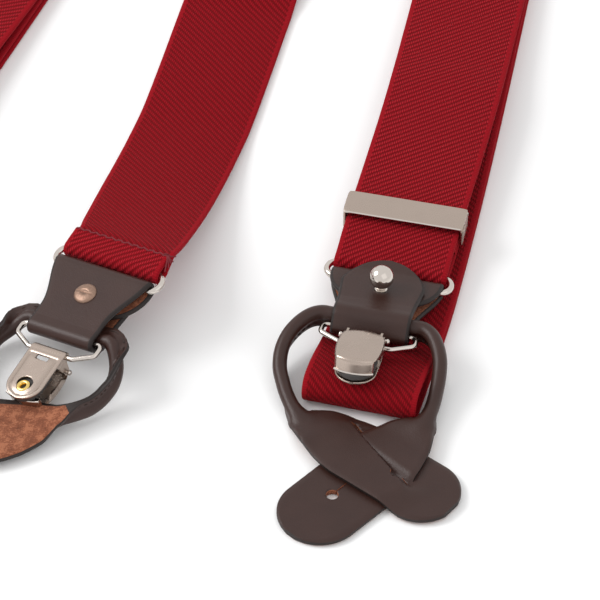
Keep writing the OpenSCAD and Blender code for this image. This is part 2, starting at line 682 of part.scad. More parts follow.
// One end's piece at its place: end is "right_front", "left_front" or "rear"
module place(end, kind) {
    if (end == "right_front") in_right(kind) children();
    if (end == "left_front") to_left() in_right(kind) children();
    if (end == "rear") in_rear(kind) children();
}
module unit_piece(end, piece) {
    front = end != "rear";
    if (piece == "ring") place(end, "ring") ring_piece();
    if (piece == "tab") place(end, "tab") tab_piece();
    if (piece == "flap") place(end, "tab") flap_piece();
    if (piece == "ball_stud") place(end, "tab") ball_stud_piece();
    if (piece == "stud_screw") place(end, "tab") stud_screw_piece();
    if (piece == "bail") place(end, "bail") bail_piece();
    if (piece == "clip_plate") place(end, "clip") clip_plate_piece();
    if (piece == "clip_lever") place(end, "clip") clip_lever_piece();
    if (piece == "clip_pad") place(end, "clip") clip_pad_piece();
    if (piece == "clip_eyelet") place(end, "clip") clip_eyelet_piece();
    if (piece == "clip_pin") place(end, "clip") clip_pin_piece();
    if (piece == "loop_cord" && front)
        place(end, "world")
            cord_piece(cord_route(right_tab_frame, right_ring, right_lean, front_cord_a, front_cord_b));
    if (piece == "loop_cord" && !front)
        cord_piece(cord_route(rear_frame, rear_ring, rear_lean, rear_cord_a, rear_cord_b));
    if (piece == "loop_tab_a" && front) place(end, "loop") front_tab_a_piece();
    if (piece == "loop_tab_b" && front) place(end, "loop") front_tab_b_piece();
    if (piece == "loop_tab_a" && !front) place(end, "loop") rear_tab_piece(true);
    if (piece == "loop_tab_b" && !front) place(end, "loop") rear_tab_piece(false);
}
module slide_piece(end, piece) {
    if (piece == "adjuster_frame") place(end, "slide") adjuster_frame_piece();
    if (piece == "adjuster_lever") place(end, "slide") adjuster_lever_piece();
    if (piece == "adjuster_pin") place(end, "slide") adjuster_pin_piece();
}

right_front_strap();
right_front_tail();
left_front_strap();
left_front_tail();
rear_strap();
patch_face();
patch_backing();
for (end = ["right_front", "left_front"], piece = SLIDE)
    slide_piece(end, piece);
for (end = ["right_front", "left_front", "rear"], piece = UNIT)
    unit_piece(end, piece);
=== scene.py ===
"""Braces laid flat: webbing, leather ends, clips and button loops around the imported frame."""
import json
import math

import bpy
import numpy as np
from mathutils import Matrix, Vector


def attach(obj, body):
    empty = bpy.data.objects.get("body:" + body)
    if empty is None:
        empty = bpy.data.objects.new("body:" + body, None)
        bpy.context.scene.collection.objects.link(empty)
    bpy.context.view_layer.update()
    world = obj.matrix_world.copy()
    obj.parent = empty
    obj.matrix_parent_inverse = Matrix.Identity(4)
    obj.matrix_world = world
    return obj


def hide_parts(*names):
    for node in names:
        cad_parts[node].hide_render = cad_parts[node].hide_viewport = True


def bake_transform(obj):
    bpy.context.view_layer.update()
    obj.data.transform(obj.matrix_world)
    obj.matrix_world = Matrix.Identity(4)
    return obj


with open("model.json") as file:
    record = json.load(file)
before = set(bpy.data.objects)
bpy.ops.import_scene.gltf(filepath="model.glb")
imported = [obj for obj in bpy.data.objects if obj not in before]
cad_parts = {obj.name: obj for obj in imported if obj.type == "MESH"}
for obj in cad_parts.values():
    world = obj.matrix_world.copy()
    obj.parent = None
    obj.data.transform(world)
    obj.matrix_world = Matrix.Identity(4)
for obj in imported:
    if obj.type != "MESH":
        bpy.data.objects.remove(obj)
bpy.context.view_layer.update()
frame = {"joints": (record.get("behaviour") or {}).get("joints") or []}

# Everything is worked out in millimetres and turned into metres where a mesh is made.
MM = 0.001
FRONTS = ("right_front", "left_front")
ENDS = FRONTS + ("rear",)
JOINTS = {j["name"]: j for j in frame["joints"]}

# Sizes that part.scad also has
WEB_W, WEB_T = 35.0, 1.5
LEATHER = 1.8
TAB_LEN, TAB_W, ROLL_W, LOBE_LEN, STUD_Y = 20.3, 34.6, 24.0, 14.0, 9.0
FLAP_W, FLAP_REACH = 26.0, 4.4
RING_R, RING_GAP = 1.0, 6.2
BAIL_R, BAIL_LEN = 0.8, 7.4
BALL_R, SCREW_R = 3.7, 3.6
CLIP_W, CLIP_LEN, LEVER_W, LEVER_LEN, CLIP_H = 12.6, 20.0, 14.8, 17.5, 6.3
CORD_R, HOLE_R = 2.2, 1.9
RUN = 0.1   # clearance round a wire
LAYER = RING_R + RUN + WEB_T / 2
FOLD_R = RING_R + RUN + LEATHER / 2
ROLL_Z = 1.25
BAIL_Y, BAIL_Z = TAB_LEN + 2.9, ROLL_Z - 1.85
FLAP_Z = RING_R + RUN + LEATHER + 0.05 + LEATHER / 2
HINGE_Y = TAB_LEN - 2.4
PIVOT_Y, PIVOT_Z = 2.2, 4.2
SLIDE_Y, SLIDE_Z, SLIDE_W, SLIDE_L = 26.4, 9.8, 37.2, 8.8
PIN_Y, PIN_Z = -3.6, 1.9
PATCH_T = 1.6

# Sizes that differ from part.scad: half the ring's width, and the tip of the clip's back plate
RING_HALF = 19.1
PLATE_TIP = CLIP_LEN - 1.0


# ---------- vectors and frames ----------

def vec(*v):
    return np.array(v, float)


def unit(v):
    v = np.asarray(v, float)
    return v / np.linalg.norm(v)


def smooth(x, low, high):
    t = np.clip((np.asarray(x, float) - low) / (high - low), 0, 1)
    return t * t * (3 - 2 * t)


def between(a, b, t):
    return a + (b - a) * t


def lengths(points):
    """Distances between neighbouring points, and the distance run at each point."""
    gap = np.linalg.norm(np.diff(np.asarray(points, float), axis=0), axis=1)
    return gap, np.concatenate([[0], np.cumsum(gap)])


def directions(points):
    """Unit tangents of a path."""
    d = np.gradient(np.asarray(points, float), axis=0)
    return d / np.linalg.norm(d, axis=1)[:, None]


def about(axis, degrees):
    """Rotation matrix about a unit axis."""
    x, y, z = unit(axis)
    a = math.radians(degrees)
    k = np.array([[0, -z, y], [z, 0, -x], [-y, x, 0]])
    return np.eye(3) + math.sin(a) * k + (1 - math.cos(a)) * k @ k


class Place:
    """A frame in millimetres: an origin and three axes, the columns of m."""

    def __init__(self, origin, x, y, z):
        self.o = np.asarray(origin, float)
        self.m = np.column_stack([x, y, z])

    def __call__(self, points):
        return self.o + np.asarray(points, float) @ self.m.T

    def turned(self, v):
        return self.m @ np.asarray(v, float)


def joint(end, name):
    j = JOINTS[f"{end}_{name}"]
    return np.array(j["pos_m"]) / MM, unit(j["axis"])


def pitched(lower, x, point, local):
    """The frame about x at lower in which point has the local height and distance."""
    d = point - lower
    d = d - x * (d @ x)
    y = about(x, -math.degrees(math.atan2(local[1], local[0]))) @ unit(d)
    return Place(lower, x, y, np.cross(x, y))


def end_frames(end):
    """Frames of one end, all from the joints' places: ring, tab, bail, clip, level and slide."""
    upper, axis = joint(end, "ring_swing")
    lower = joint(end, "tab_swing")[0]
    x = -axis if end == "rear" else axis
    y = unit(lower - upper)
    f = {"ring": Place(lower, x, y, np.cross(x, y))}
    f["tab"] = pitched(lower, x, joint(end, "loop_swing")[0], (TAB_LEN, ROLL_Z))
    bar = joint(end, "clip_swing")[0]
    f["bail"] = Place(joint(end, "bail_swing")[0], x, f["tab"].m[:, 1], f["tab"].m[:, 2])
    f["clip"] = pitched(bar, x, joint(end, "clip_lever_open")[0], (PIVOT_Y, PIVOT_Z))
    down = unit(vec(y[0], y[1], 0))
    up = vec(0, 0, 1)
    f["level"] = Place(vec(lower[0], lower[1], 0), np.cross(down, up), down, up)
    if end in FRONTS:
        pin = joint(end, "adjuster_lever_open")[0]
        f["slide"] = Place(pin - PIN_Y * y - PIN_Z * f["ring"].m[:, 2], x, y, f["ring"].m[:, 2])
    return f


F = {end: end_frames(end) for end in ENDS}


# ---------- meshes ----------

def piece(name, body, verts, faces, materials, face_mats=None, uv=None, sharp=38.0):
    """A mesh piece in millimetres that rides on a body."""
    me = bpy.data.meshes.new(name)
    me.from_pydata([tuple(v * MM for v in p) for p in verts], [], [list(f) for f in faces])
    ob = bpy.data.objects.new(name, me)
    bpy.context.scene.collection.objects.link(ob)
    for m in materials:
        me.materials.append(m)
    if face_mats is not None:
        me.polygons.foreach_set("material_index", np.asarray(face_mats, dtype=np.int32))
    if uv is not None:
        layer = me.uv_layers.new(name="strap")
        layer.data.foreach_set("uv", np.asarray(uv, dtype=np.float32).ravel())
    me.polygons.foreach_set("use_smooth", [True] * len(me.polygons))
    me.set_sharp_from_angle(angle=math.radians(sharp))
    me.validate()
    me.update()
    if body:
        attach(ob, body)
    return ob


def grid_faces(n, k, ring=False):
    """Quads of n closed loops of k points each; ring joins the last loop to the first."""
    faces = []
    for i in range(n if ring else n - 1):
        j = (i + 1) % n
        faces += [(i * k + a, i * k + (a + 1) % k, j * k + (a + 1) % k, j * k + a) for a in range(k)]
    return faces


def loft(name, body, loops, materials, mat_of=None, ring=False, caps=True, uv=None, sharp=38.0):
    """Skin over closed loops (n, k, 3). mat_of gives the material index for loop i, side a."""
    loops = np.asarray(loops, float)
    n, k = loops.shape[:2]
    faces = grid_faces(n, k, ring)
    rows = n if ring else n - 1
    mats = [mat_of(i, a) if mat_of else 0 for i in range(rows) for a in range(k)]
    coords = None
    if uv is not None:
        coords = []
        for i in range(rows):
            for a in range(k):
                coords += uv(i, a)
    if caps and not ring:
        faces += [tuple(range(k - 1, -1, -1)), tuple((n - 1) * k + a for a in range(k))]
        mats += [mats[0] if mat_of is None else mat_of(-1, 0)] * 2
        if uv is not None:
            coords += [(0.0, 0.0)] * (2 * k)
    return piece(name, body, loops.reshape(-1, 3), faces, materials, mats, coords, sharp)


def circle_loop(r, k):
    a = np.arange(k) * 2 * math.pi / k
    return np.column_stack([r * np.cos(a), r * np.sin(a)])


def rounded_path(points, radius, closed=False, steps=8):
    """A polyline with its corners turned into arcs."""
    pts = [np.asarray(p, float) for p in points]
    n = len(pts)
    out = []
    for i, p in enumerate(pts):
        if not closed and i in (0, n - 1):
            out.append(p)
            continue
        a, b = unit(pts[i - 1] - p), unit(pts[(i + 1) % n] - p)
        half = math.acos(np.clip(a @ b, -1, 1)) / 2
        if half > 1.5:
            out.append(p)
            continue
        r = radius[i] if isinstance(radius, (list, tuple)) else radius
        cut = r / math.tan(half)
        centre = p + unit(a + b) * r / math.sin(half)
        s, e = p + a * cut - centre, p + b * cut - centre
        span = math.acos(np.clip(unit(s) @ unit(e), -1, 1))
        for t in np.linspace(0, 1, steps + 1):
            out.append(centre + (math.sin((1 - t) * span) * s + math.sin(t * span) * e) / math.sin(span))
    return np.array(out)


def sweep(name, body, path, radius, materials, k=16, closed=False):
    """A round wire along a path, with its loops carried along without twist."""
    path = np.asarray(path, float)
    n = len(path)
    radius = np.broadcast_to(np.asarray(radius, float), (n,))
    d = np.array([unit((path[(i + 1) % n] if closed or i < n - 1 else path[i])
                       - (path[i - 1] if closed or i > 0 else path[i])) for i in range(n)])
    side = unit(np.cross(d[0], [0.31, 0.2, 0.93]))
    loops = []
    for i in range(n):
        side = unit(side - d[i] * (side @ d[i]))
        up = np.cross(d[i], side)
        loops.append([path[i] + radius[i] * (c * side + s * up) for c, s in circle_loop(1, k)])
    return loft(name, body, loops, materials, ring=closed, sharp=60)


def revolve(name, body, place, profile, materials, k=40, sharp=40):
    """A turned piece about local z: profile is (radius, height) from the bottom to the top."""
    loops = [[place(vec(r * c, r * s, z)) for c, s in circle_loop(1, k)] for r, z in profile]
    return loft(name, body, loops, materials, sharp=sharp)


def slab(w, t, columns, edge=0.5):
    """Section of a flat sheet: across, up. The first columns + 1 points are the top, left to right."""
    x = np.linspace(-1, 1, columns + 1)
    r = min(edge * t, 0.49 * t)
    flat = max(w - r, 0.02)
    top = [(a * flat, t / 2) for a in x]
    corner = [(flat + r * math.cos(math.radians(a)) * (w - flat) / max(r, 1e-6),
               t / 2 - r + r * math.sin(math.radians(a))) for a in (60, 30, 0)]
    low = [(p[0], -p[1]) for p in reversed(corner)]
    bottom = [(-p[0], -t / 2) for p in top]
    left_low = [(-p[0], p[1]) for p in reversed(low)]
    left_up = [(-p[0], p[1]) for p in reversed(corner)]
    return np.array(top + corner + low + bottom + left_low + left_up)


def slab_side(columns, a):
    """Which side of a slab the face after point a belongs to: top, bottom or edge."""
    if a < columns:
        return "top"
    if columns + 7 <= a < 2 * columns + 7:
        return "bottom"
    return "edge"


def bake_modifiers(ob):
    """Makes a piece's modifiers part of its mesh."""
    deps = bpy.context.evaluated_depsgraph_get()
    me = bpy.data.meshes.new_from_object(ob.evaluated_get(deps))
    ob.modifiers.clear()
    old = ob.data
    ob.data = me
    bpy.data.meshes.remove(old)


def cut(ob, tool, crossing=False):
    """Takes a tool's volume out of a piece; crossing allows a piece that passes through itself."""
    outward(tool.data)
    mod = ob.modifiers.new("cut", "BOOLEAN")
    mod.operation = "DIFFERENCE"
    mod.solver = "EXACT"
    mod.use_self = crossing
    mod.object = tool
    bake_modifiers(ob)
    bpy.data.objects.remove(tool)


def bevel(ob, width):
    """Rounds a piece's sharp edges."""
    mod = ob.modifiers.new("round", "BEVEL")
    mod.width = width * MM
    mod.segments = 2
    mod.limit_method = "ANGLE"
    mod.angle_limit = math.radians(35)
    bake_modifiers(ob)


def outward(me):
    """Turns a closed mesh the right way out."""
    me.calc_loop_triangles()
    v = np.array([p.co for p in me.vertices])
    t = np.array([p.vertices for p in me.loop_triangles])
    if np.einsum("ij,ij->", v[t[:, 0]], np.cross(v[t[:, 1]], v[t[:, 2]])) < 0:
        me.flip_normals()


def prism(place, outline, low, high, material):
    """A straight cutter with a flat outline, from one local height to another."""
    loops = [[place(vec(p[0], p[1], z)) for p in outline] for z in (low, high)]
    return loft("cutter", None, loops, [material], sharp=30)


def side_plate(name, body, place, outline, x, half=0.35):
    """A flat piece of sheet metal at local x, with its outline in (y, z)."""
    loops = [[place(vec(x + t, y, z)) for y, z in outline] for t in (-half, half)]
    return loft(name, body, loops, [NICKEL], sharp=30)


def add_stitch(verts, faces, rings):
    """One stitch: a short closed tube of five rings with six points each."""
    base = len(verts)
    for ring in rings:
        verts += ring
    faces += [tuple(base + v for v in f) for f in grid_faces(5, 6)]
    faces += [tuple(base + v for v in range(5, -1, -1)), tuple(base + 24 + v for v in range(6))]


# ---------- materials ----------

class Nodes:
    """Short names for building a node tree."""

    def __init__(self, name):
        self.mat = bpy.data.materials.new(name)
        self.mat.use_nodes = True
        self.tree = self.mat.node_tree
        self.bsdf = self.tree.nodes["Principled BSDF"]

    def new(self, kind, **values):
        node = self.tree.nodes.new("ShaderNode" + kind)
        for key, value in values.items():
            if hasattr(node, key):
                setattr(node, key, value)
            else:
                node.inputs[key.replace("_", " ")].default_value = value
        return node

    def link(self, a, b):
        self.tree.links.new(a, b)

    def math(self, op, a, b=0.0, c=0.0):
        node = self.new("Math")
        node.operation = op
        for socket, value in zip(node.inputs, (a, b, c)):
            if isinstance(value, (int, float)):
                socket.default_value = value
            else:
                self.link(value, socket)
        return node.outputs[0]

    def noise(self, scale, detail=3.0, vector=None, rough=0.55):
        node = self.new("TexNoise")
        node.inputs["Scale"].default_value = scale
        node.inputs["Detail"].default_value = detail
        node.inputs["Roughness"].default_value = rough
        if vector is not None:
            self.link(vector, node.inputs["Vector"])
        return node.outputs[0]

    def ramp(self, value, stops):
        node = self.new("ValToRGB")
        ramp = node.color_ramp
        while len(ramp.elements) < len(stops):
            ramp.elements.new(0.5)
        for e, (pos, colour) in zip(ramp.elements, stops):
            e.position = pos
            e.color = (*colour, 1)
        self.link(value, node.inputs[0])
        return node.outputs[0]

    def mix(self, factor, a, b):
        node = self.new("Mix")
        node.data_type = "RGBA"
        for name, value in (("Factor", factor), ("A", a), ("B", b)):
            kind = "VALUE" if name == "Factor" else "RGBA"
            socket = next(s for s in node.inputs if s.name == name and s.type == kind)
            if isinstance(value, tuple):
                socket.default_value = (*value, 1)
            elif isinstance(value, (int, float)):
                socket.default_value = value
            else:
                self.link(value, socket)
        return next(s for s in node.outputs if s.type == "RGBA")

    def bump(self, height, distance, strength=1.0, below=None):
        node = self.new("Bump")
        node.inputs["Strength"].default_value = strength
        node.inputs["Distance"].default_value = distance
        self.link(height, node.inputs["Height"])
        if below is not None:
            self.link(below, node.inputs["Normal"])
        return node.outputs[0]

    def finish(self, colour=None, rough=None, normal=None, **fixed):
        for value, name in ((colour, "Base Color"), (rough, "Roughness"), (normal, "Normal")):
            if value is None:
                continue
            if isinstance(value, tuple):
                self.bsdf.inputs[name].default_value = (*value, 1)
            elif isinstance(value, (int, float)):
                self.bsdf.inputs[name].default_value = value
            else:
                self.link(value, self.bsdf.inputs[name])
        for key, value in fixed.items():
            self.bsdf.inputs[key.replace("_", " ")].default_value = value
        return self.mat


def object_mm(n):
    """Object coordinates in millimetres."""
    co = n.new("TexCoord").outputs["Object"]
    scale = n.new("VectorMath")
    scale.operation = "SCALE"
    n.link(co, scale.inputs[0])
    scale.inputs["Scale"].default_value = 1 / MM
    return scale.outputs[0]


REVERSE = 60.0   # added to the across coordinate on the reverse of the webbing
YARN_PITCH = 0.62     # from one warp yarn to the next
FLOAT_PITCH = 2.1     # from one float to the next along a yarn
TWILL_STEP = 0.52     # how far along the strap each yarn's floats have moved


def webbing_material():
    """Elastic twill: roping diagonal ridges, a finer reverse, and a plain selvage, with painted shade in the
    valleys between yarns.
    """
    n = Nodes("red_webbing")
    uv = n.new("UVMap", uv_map="strap")
    xyz = n.new("SeparateXYZ")
    n.link(uv.outputs[0], xyz.inputs[0])
    u, v0 = xyz.outputs[0], xyz.outputs[1]
    back = n.math("GREATER_THAN", v0, REVERSE / 2)
    v = n.math("SUBTRACT", v0, n.math("MULTIPLY", back, REVERSE))
    mm = object_mm(n)
    wander = n.math("MULTIPLY", n.math("SUBTRACT", n.noise(0.2, 2, mm), 0.5), 0.4)
    # Warp yarns run along u; each one's floats are a step further on than its neighbour's
    v_yarn = n.math("MULTIPLY", n.math("ADD", v, wander), 1 / YARN_PITCH)
    count = n.math("FLOOR", v_yarn)
    round_yarn = n.math("SINE", n.math("MULTIPLY", n.math("SUBTRACT", v_yarn, count), math.pi))
    shift = n.math("MULTIPLY", count, TWILL_STEP)
    phase = n.math("MULTIPLY", n.math("SUBTRACT", u, shift), 1 / FLOAT_PITCH)
    wave = n.math("SINE", n.math("MULTIPLY", phase, 2 * math.pi))
    ridge = n.math("MULTIPLY_ADD", wave, 0.5, 0.5)
    yarn = n.math("MULTIPLY", n.math("POWER", ridge, 0.8), n.math("MULTIPLY_ADD", round_yarn, 0.75, 0.25))
    # The reverse is flatter
    field = n.math("MULTIPLY", yarn, n.math("MULTIPLY_ADD", back, -0.35, 1.0))
    edge = n.math("GREATER_THAN", n.math("ABSOLUTE", v), WEB_W / 2 - 1.5)
    ribs = n.math("MULTIPLY_ADD", n.math("SINE", n.math("MULTIPLY", u, 2 * math.pi / 0.7)), 0.1, 0.5)
    height = n.math("ADD", n.math("MULTIPLY", field, n.math("SUBTRACT", 1.0, edge)),
                    n.math("MULTIPLY", ribs, edge))
    fuzz = n.noise(5.0, 4, mm, 0.7)
    height = n.math("MULTIPLY_ADD", fuzz, 0.42, n.math("SUBTRACT", height, 0.05))
    # Colour follows the yarns' height: painted shade in the valleys between yarns, lighter red on the ridge
    # tops
    base = n.ramp(height, [(0.12, (0.085, 0.001, 0.002)), (0.5, (0.22, 0.002, 0.006)),
                           (0.9, (0.35, 0.006, 0.014)), (1.0, (0.43, 0.018, 0.028))])
    cloud = n.noise(0.06, 2, mm)
    colour = n.mix(n.math("MULTIPLY", cloud, 0.3), base, (0.21, 0.003, 0.008))
    normal = n.bump(height, 0.00042, 0.9)
    n.bsdf.inputs["Sheen Weight"].default_value = 0.05
    n.bsdf.inputs["Sheen Roughness"].default_value = 0.5
    n.bsdf.inputs["Sheen Tint"].default_value = (1.0, 0.2, 0.2, 1)
    return n.finish(colour, 0.85, normal, Specular_IOR_Level=0.09)


def leather_material(name, dark, light, roughness, grain, depth):
    """Grain leather: fine pebbling, faint creases, and a slow change of tone."""
    n = Nodes(name)
    mm = object_mm(n)
    cells = n.new("TexVoronoi", feature="F1")
    cells.inputs["Scale"].default_value = grain
    n.link(mm, cells.inputs["Vector"])
    fine = n.noise(grain * 1.7, 4, mm, 0.6)
    crease = n.noise(0.9, 5, mm, 0.62)
    height = n.math("MULTIPLY_ADD", cells.outputs["Distance"], 0.6, n.math("MULTIPLY", fine, 0.5))
    tone = n.noise(0.11, 3, mm)
    colour = n.mix(n.math("MULTIPLY_ADD", tone, 0.7, n.math("MULTIPLY", fine, 0.25)), dark, light)
    rough = n.math("MULTIPLY_ADD", fine, 0.16, roughness - 0.06)
    normal = n.bump(height, depth, 0.5, n.bump(crease, depth * 1.6, 0.3))
    return n.finish(colour, rough, normal, Specular_IOR_Level=0.36, Coat_Weight=0.04, Coat_Roughness=0.35)


def suede_material():
    """The flesh side: rusty and napped."""
    n = Nodes("leather_flesh_side")
    mm = object_mm(n)
    nap = n.noise(1.6, 6, mm, 0.7)
    patch = n.noise(0.32, 3, mm)
    height = n.math("MULTIPLY_ADD", patch, 0.8, nap)
    colour = n.ramp(height, [(0.45, (0.075, 0.022, 0.012)), (0.9, (0.23, 0.075, 0.038)),
                             (1.25, (0.36, 0.135, 0.07))])
    n.bsdf.inputs["Sheen Weight"].default_value = 0.3
    n.bsdf.inputs["Sheen Tint"].default_value = (1.0, 0.6, 0.45, 1)
    return n.finish(colour, 0.92, n.bump(nap, 0.0005, 0.8), Specular_IOR_Level=0.15)


def metal_material(name, colour, roughness, scratches=0.35):
    """Plated metal with hazy spots and fine drawn lines."""
    n = Nodes(name)
    mm = object_mm(n)
    stretch = n.new("Mapping")
    stretch.inputs["Scale"].default_value = (0.6, 5.0, 5.0)
    n.link(mm, stretch.inputs["Vector"])
    lines = n.noise(3.0, 3, stretch.outputs[0])
    haze = n.noise(0.28, 4, mm)
    rough = n.math("MULTIPLY_ADD", haze, 0.16, n.math("MULTIPLY_ADD", lines, 0.06, roughness - 0.1))
    tint = n.mix(n.math("MULTIPLY", haze, 0.5), colour, tuple(c * 0.82 for c in colour))
    normal = n.bump(lines, 0.00002, scratches)
    return n.finish(tint, rough, normal, Metallic=1.0)


def dull_material(name, colour, rough, grain=3.0):
    """Matt pads, thread and worn steel."""
    n = Nodes(name)
    mm = object_mm(n)
    spots = n.noise(grain, 4, mm)
    tint = n.mix(spots, tuple(c * 0.6 for c in colour), tuple(min(1, c * 1.35) for c in colour))
    return n.finish(tint, rough, n.bump(spots, 0.00015, 0.5))


WEBBING = webbing_material()
GRAIN = leather_material("brown_leather", (0.024, 0.0085, 0.0060), (0.046, 0.0190, 0.0140),
                         0.38, 2.6, 0.00011)
CUT_EDGE = leather_material("leather_cut_edge", (0.010, 0.006, 0.005), (0.022, 0.013, 0.011),
                            0.55, 1.6, 0.0002)
SUEDE = suede_material()
LEATHERS = [GRAIN, SUEDE, CUT_EDGE]
NICKEL = metal_material("nickel_plate", (0.47, 0.385, 0.33), 0.26)
BRIGHT = metal_material("bright_nickel", (0.66, 0.60, 0.55), 0.12, 0.15)
BRASS = metal_material("brass_eyelet", (0.83, 0.60, 0.20), 0.2)
AGED = dull_material("aged_screw", (0.30, 0.19, 0.14), 0.45, 1.2)
AGED.node_tree.nodes["Principled BSDF"].inputs["Metallic"].default_value = 0.75
PAD = dull_material("grip_pad", (0.05, 0.045, 0.042), 0.7)
THREAD = dull_material("leather_thread", (0.035, 0.02, 0.016), 0.75, 5.0)
RED_THREAD = dull_material("strap_thread", (0.16, 0.008, 0.014), 0.8, 5.0)


# ---------- webbing ----------

def left(d):
    return vec(-d[1], d[0])


def down(lean):
    a = math.radians(lean)
    return vec(-math.sin(a), -math.cos(a))


def flat_row(p, d, z, side, face):
    """One row of a strap: point, across, face, and how far the row slants along the strap."""
    return vec(*p, z), vec(*(side * left(d)), 0), vec(0, 0, face), 0.0


def turn_rows(p, d1, d2, z1, z2, side, face):
    """Half a turn round a crease, coming along d1 and leaving along d2."""
    c = left(d1) if np.linalg.norm(d1 + d2) < 0.01 else unit(d1 + d2)
    if (c @ left(d1)) * side < 0:
        c = -c
    n = unit(d1 - (d1 @ c) * c)
    up = 1 if z2 > z1 else -1
    r = abs(z2 - z1) / 2
    wide = 1 / abs(c[0] * d1[1] - c[1] * d1[0])
    rows = []
    for a in np.radians(np.arange(0, 181, 15)):
        point = vec(*(p + r * math.sin(a) * n), (z1 + z2) / 2 - up * r * math.cos(a))
        normal = face * vec(*(-up * math.sin(a) * n), math.cos(a))
        rows.append((point, vec(*(c * wide), 0), normal, (c @ d1) * wide))
    return rows


def end_row(place, y, z, tilt, side):
    a = math.radians(tilt)
    return (place(vec(0, y, z)), place.turned(vec(side, 0, 0)),
            place.turned(vec(0, -math.sin(a), math.cos(a))), 0.0)


def ring_rows(place, side):
    """Round the ring's upper bar, from the face layer to the layer behind it."""
    return [end_row(place, -RING_GAP + LAYER * math.sin(math.radians(a)),
                    LAYER * math.cos(math.radians(a)), -a, side) for a in range(0, 181, 15)]


def smooth_rows(rows, step=2.0):
    """More rows where the given ones are far apart, on smooth curves that don't overshoot."""
    flat = np.array([np.concatenate([p, w, n, [s]]) for p, w, n, s in rows])
    gap = lengths(flat[:, :3])[0]
    slope = np.diff(flat, axis=0) / gap[:, None]
    m = np.zeros_like(flat)
    for i in range(1, len(flat) - 1):
        a, b = slope[i - 1], slope[i]
        same = a * b > 0
        m[i] = np.where(same, 2 * a * b / np.where(same, a + b, 1), 0)
    m[0], m[-1] = slope[0], slope[-1]
    out = []
    for i, h in enumerate(gap):
        count = max(1, int(round(h / step)))
        for t in np.arange(count) / count:
            out.append((2 * t**3 - 3 * t**2 + 1) * flat[i] + (t**3 - 2 * t**2 + t) * h * m[i]
                       + (3 * t**2 - 2 * t**3) * flat[i + 1] + (t**3 - t**2) * h * m[i + 1])
    out.append(flat[-1])
    return [(r[:3], r[3:6], unit(r[6:9]), r[9]) for r in out]


COLUMNS = 24


def strap(name, body, rows, replaced, start=0.0):
    """Webbing along rows, with rounded edges and twill coordinates for both faces."""
    rows = smooth_rows(rows)
    section = slab(WEB_W / 2, WEB_T, COLUMNS, edge=0.45)
    loops = [[p + w * a + n * b for a, b in section] for p, w, n, _ in rows]
    s = start + lengths([row[0] for row in rows])[1]
    k = len(section)

    def uv(i, a):
        back = REVERSE if slab_side(COLUMNS, a) == "bottom" else 0.0
        corners = ((i, a), (i, (a + 1) % k), (i + 1, (a + 1) % k), (i + 1, a))
        return [(s[r] + rows[r][3] * section[c][0], section[c][0] + back) for r, c in corners]

    ob = loft(name, body, loops, [WEBBING], uv=uv, sharp=70)
    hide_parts(replaced)
    return ob, float(s[-1] - start)


# The straps' routes, as in part.scad
PATCH_AT, PATCH_LEAN = vec(-7.5, -30), 14.0
PATCH_UP = -down(PATCH_LEAN)
PATCH_ACROSS = vec(PATCH_UP[1], -PATCH_UP[0])
STRAP_Z, FLOOR_Z, BACK_Z, FOLD_Z, TOP_Z = PATCH_T + 0.05 + WEB_T / 2, WEB_T / 2, 2.6, 9.6, 5.4
BOTTOM_FOLD, BEND_AT, KNEE = vec(27.5, -213.6), vec(39.1, -169.2), vec(-22.8, -92)
TOP_LEAN = 10.5
SLIDE_RUN = 84.0
HEM = 6.0
TURN, TURN_AT, TURN_TO = -14.0, vec(62.1, -44), vec(-93.5, -44)


def to_left(place_or_point):
    """Moves a point of the right front strap to where the left one lies."""
    m = about(vec(0, 0, 1), TURN)
    p = np.asarray(place_or_point, float)
    return m @ (p - vec(*TURN_AT, 0)) + vec(*TURN_TO, 0)


def unturn(p):
    m = about(vec(0, 0, 1), -TURN)
    return (m @ vec(*(p - TURN_TO), 0))[:2] + TURN_AT


def front_rows(place, far, start):
    d0, d1, d2 = unit(far - start), unit(BEND_AT - far), unit(BOTTOM_FOLD - BEND_AT)
    ring_xy = place.o[:2]
    d3 = unit(place.m[:2, 1])
    above = ring_xy - SLIDE_RUN * d3
    top = BEND_AT - down(TOP_LEAN) * 160
    d4 = unit(above - top)
    rows = [flat_row(start, d0, STRAP_Z, 1, -1), flat_row(start + 14 * d0, d0, STRAP_Z, 1, -1),
            flat_row(far - 12 * d0, d0, 4.6, 1, -1)]
    rows += turn_rows(far, d0, d1, 4.6, FLOOR_Z, 1, -1)
    rows += [flat_row(far + 14 * d1, d1, FLOOR_Z, -1, 1), flat_row(BEND_AT, d1, FLOOR_Z, -1, 1)]
    rows += turn_rows(BOTTOM_FOLD, d2, -d2, FLOOR_Z, FOLD_Z, -1, 1)
    for s, z in ((4, 9.2), (9, 8), (15, 5.9), (21, 3.9), (26, 2.9), (32, BACK_Z)):
        rows.append(flat_row(BOTTOM_FOLD - s * d2, -d2, z, 1, -1))
    rows.append(flat_row(BEND_AT, -d1, BACK_Z, 1, -1))
    rows += turn_rows(top, -d1, d4, BACK_Z, TOP_Z, 1, -1)
    rows += [flat_row(top + 6 * d4, d4, TOP_Z, -1, 1), flat_row(above - 18 * d4, d4, 8, -1, 1),
             flat_row(above, d3, SLIDE_Z, -1, 1), flat_row(ring_xy - 17 * d3, d3, SLIDE_Z, -1, 1),
             flat_row(ring_xy - 11 * d3, d3, place.o[2] + LAYER + 0.3, -1, 1)]
    rows += ring_rows(place, 1)
    rows.append(end_row(place, -RING_GAP - 3, -LAYER, -180, 1))
    return rows


BAR_Z = SLIDE_Z - 3.7
BAR_LAYER = 0.9 + RUN + WEB_T / 2


